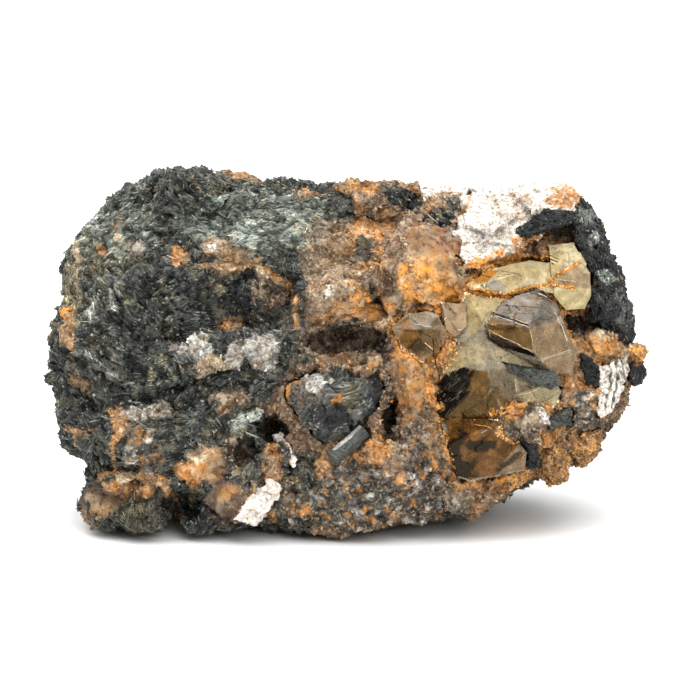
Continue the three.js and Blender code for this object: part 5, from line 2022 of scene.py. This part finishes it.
    def build_green(self, border: Border) -> None:
        """Builds the nodule, the striated prism, the lobes and the banded slab."""
        nodule_marks = (
            Patch(-6.6, 23.4, 3.4, 3.4, T.SALT, 0.3), Patch(-6, 24.4, 2, 1.4, T.GRAY_WHITE, 0.5, 25),
            Patch(-1.6, 21.9, 2.2, 1.2, T.OCHRE, 0.2, 30), Patch(-3.4, 19.4, 4, 2.6, T.FELT_DARK, 1),
            Patch(0.4, 22.6, 1.4, 2.4, T.OLIVE, 0.8), Patch(4.2, 23, 1.4, 3.4, T.FELT_DARK, 1),
            Stroke(((-10.4, 25.4), (-10.6, 20.6), (-7.2, 17)), 0.9, T.OCHRE),
            Stroke(((-10.4, 25.4), (-4, 27.6), (1, 27.4)), 0.8, T.OCHRE),
            Stroke(((-4.6, 24.4), (-3, 26)), 0.5, T.WHITE, 0.8),
        )
        GrownPiece(
            "amphibole_nodule", "amphibole_nodule_surface", "green_amphibole", Tone.FELT, 0.9, 0.26,
            (1, 0.5, 0), 0.25, 0.8, ((2.8, 0.3, 0.26), (1.2, 0.14, 0.3)), nodule_marks,
        ).build(self.banded, border)
        # The gray-white stroke is a painted highlight along the prism's upper side.
        prism_marks = (Stroke(((-2.6, 14.2), (1.6, 17.7)), 0.7, T.GRAY_WHITE, 1),)
        GrownPiece(
            "striated_prism", "striated_prism_surface", "green_amphibole", Tone.FELT, 1, 0.12,
            (0.76, 0.64, 0), 0.07, 0.35, marks=prism_marks, rust=0.5,
        ).build(self.black, border)
        for node, lie in (("amphibole_lobe_a", (0.2, 1, 0)), ("amphibole_lobe_b", (0.6, 1, 0))):
            piece = GrownPiece(
                node, f"{node}_surface", "banded_amphibole", Tone.TAN, 0.45, 0.22, lie, 0.25, 0.7,
                ((2, 0.25, 0.3), (0.9, 0.14, 0.3)), uneven=0.6,
            ).build(self.banded, border)
            kinds = ((Tone.OCHRE_BRIGHT, 0.3), (Tone.FELT_DARK, 0.3), (Tone.CREAM, 0.1), (Tone.OLIVE, 0.1))
            Grains(f"{node}_grains", 1500, (0.25, 0.9), kinds=kinds, seed=11).strew(
                piece, np.ones(len(piece.data.vertices)), self.grain, "banded_amphibole")
        slab_marks = tuple(
            Stroke(
                ((42.4 + 1.3 * i, 20.6), (43.4 + 1.2 * i, 25), (43 + i, 29.6)), 0.35, T.FELT, 1, 0.15, 0.9,
            )
            for i in range(3)
        )
        GrownPiece(
            "banded_slab", "banded_slab_surface", "banded_feldspar", Tone.WHITE, 0.4, 0.22,
            (0.3, 1, 0), 0.25, 0.6, ((2, 0.2, 0.24), (0.9, 0.12, 0.3)), slab_marks, uneven=0.4,
        ).build(self.banded, border)

    def build_crystals(self, border: Border) -> None:
        """Builds the titanite crystals, with crumbs of rust along their borders."""
        gem = TitaniteFinish("gem_titanite").material()
        pale = TitaniteFinish("pale_titanite", clear=0.62).material()
        kinds = ((Tone.OCHRE_BRIGHT, 0.5), (Tone.CREAM, 0.25), (Tone.BROWN, 0.1))
        for i, (node, tone, marks, seed, crumbs, flakes, finish) in enumerate((
            ("titanite_main", Tone.CLOUD, MAIN_MARKS, 400, 5000, 5200, gem),
            ("titanite_upper", Tone.STRAW, UPPER_MARKS, 430, 2600, 2200, pale),
            ("titanite_small", Tone.SMOKE, (), 460, 900, 500, pale),
            ("titanite_left", Tone.SMOKE, LEFT_MARKS, 490, 1300, 900, gem),
        )):
            crystal = TitaniteCrystal(node, f"{node}_crystal", tone, marks, seed=seed)
            piece, edge = crystal.build(finish, border)
            Hairlines(f"{node}_hairlines", HAIRLINES[node]).draw(piece, self.flake)
            Grains(f"{node}_crumbs", crumbs, (0.2, 0.7), kinds=kinds, seed=40 + i).strew(
                piece, edge, self.grain, "rock")
            view = VIEW.to_view(points_of(piece))
            front = VIEW.frontness(view)
            cloudy = front * (1 - 0.85 * self.inked(view))
            HealedCracks(f"{node}_flakes", flakes, seed=50 + i).scatter(piece, cloudy, self.flake)
            if node == "titanite_main":
                Needles("inclusion_fibres", 1600, (0.7, 2.0), (0.08, 0.2), 2.0, 0.1, seed=15).strew(
                    piece, front * self.inked(view), self.up_right, self.ink, "black_amphibole")

    def inked(self, view: np.ndarray) -> np.ndarray:
        """Gives 1 where a crystal is dark with fibres that it has grown around."""
        wobble = waves(view / 2.2, 51, 3)
        dark = np.zeros(len(view))
        for mark in MAIN_MARKS:
            if isinstance(mark, Facet) and mark.tone is Tone.INKY:
                dark = np.maximum(dark, mark.cover(view, wobble))
        return dark

    def up_right(self, places: np.ndarray) -> np.ndarray:
        """Gives the inclusion's fibres their direction."""
        return np.tile(VIEW.turn_to_frame((0.68, 0.73, 0.0)), (len(places), 1))


@dataclass(frozen=True)
class Studio:
    """A pale floor, soft light from above and a long lens at the picture's angle."""

    lens_mm: float = 400.0
    sensor_mm: float = 36.0
    picture_mm: float = 116.67
    middle_v: float = 30.33
    middle_w: float = -10.0

    def build_camera(self) -> None:
        """Makes the camera that frames the specimen as the picture does."""
        target = VIEW.to_frame(np.array([(0.0, self.middle_v, self.middle_w)]))[0] * MM
        ahead = VIEW.turn_to_frame((0.0, 0.0, 1.0))
        away = self.picture_mm * MM * self.lens_mm / self.sensor_mm
        data = bpy.data.cameras.new("camera")
        data.lens, data.sensor_width = self.lens_mm, self.sensor_mm
        data.clip_start, data.clip_end = 0.01, 20.0
        camera = bpy.data.objects.new("camera", data)
        camera.location = target - ahead * away
        camera.rotation_euler = (math.radians(90 - VIEW.lean_deg), 0.0, 0.0)
        bpy.context.scene.collection.objects.link(camera)
        bpy.context.scene.camera = camera

    def build_surround(self) -> None:
        """Makes a white surround, bright above and dimmer low down and towards the viewer."""
        world = bpy.data.worlds.new("white_surround")
        world.use_nodes = True
        bpy.context.scene.world = world
        tree = world.node_tree
        tree.nodes.clear()
        place = add(tree, "ShaderNodeTexCoord")
        axes = add(tree, "ShaderNodeSeparateXYZ", {"Vector": place.outputs["Generated"]})
        above = add(tree, "ShaderNodeMapRange", {
            "Value": axes.outputs["Z"], "From Min": 0.0, "From Max": 0.8, "To Min": 0.3, "To Max": 1.05,
        })
        behind = add(tree, "ShaderNodeMapRange", {
            "Value": axes.outputs["Y"], "From Min": -1.0, "From Max": 0.2, "To Min": 0.6, "To Max": 1.0,
        })
        strength = add(tree, "ShaderNodeMath", {0: above.outputs[0], 1: behind.outputs[0]},
                       operation="MULTIPLY")
        sky = add(tree, "ShaderNodeBackground", {
            "Color": (1.0, 1.0, 1.0, 1.0), "Strength": strength.outputs[0],
        })
        output = add(tree, "ShaderNodeOutputWorld")
        tree.links.new(sky.outputs[0], output.inputs["Surface"])

    def build_lights(self) -> None:
        """Makes two large soft lights, above and in front."""
        for name, place, size, power in (
            ("softbox_above", (-0.04, -0.06, 0.6), 0.9, 8.5),
            ("softbox_front", (0.3, -0.6, 0.4), 0.5, 2.6),
        ):
            data = bpy.data.lights.new(name, "AREA")
            data.energy, data.size = power, size
            light = bpy.data.objects.new(name, data)
            light.location = place
            aim = -light.location
            light.rotation_euler = aim.to_track_quat("-Z", "Y").to_euler()
            bpy.context.scene.collection.objects.link(light)

    def build_floor(self) -> None:
        """Makes the pale floor, of smooth matt board."""
        bpy.ops.object.select_all(action="DESELECT")
        bpy.ops.mesh.primitive_plane_add(size=12.0)
        floor = bpy.context.object
        floor.name = "floor"
        material, tree, output = new_material("matt_white_board")
        surface = add(tree, "ShaderNodeBsdfPrincipled", {
            "Base Color": linear("#f6f6f6"), "Roughness": 0.9,
        })
        tree.links.new(surface.outputs[0], output.inputs["Surface"])
        floor.data.materials.append(material)

    def build(self) -> None:
        """Builds the studio."""
        self.build_camera()
        self.build_surround()
        self.build_lights()
        self.build_floor()
        bpy.context.scene.view_settings.view_transform = "Standard"


def main() -> None:
    """Builds the specimen and its studio."""
    logging.basicConfig(level=logging.INFO, format="%(message)s")
    specimen = Specimen()
    border = specimen.build_rock()
    specimen.build_feldspar(border)
    specimen.build_black(border)
    specimen.build_green(border)
    specimen.build_crystals(border)
    Studio().build()


if __name__ == "__main__":
    main()
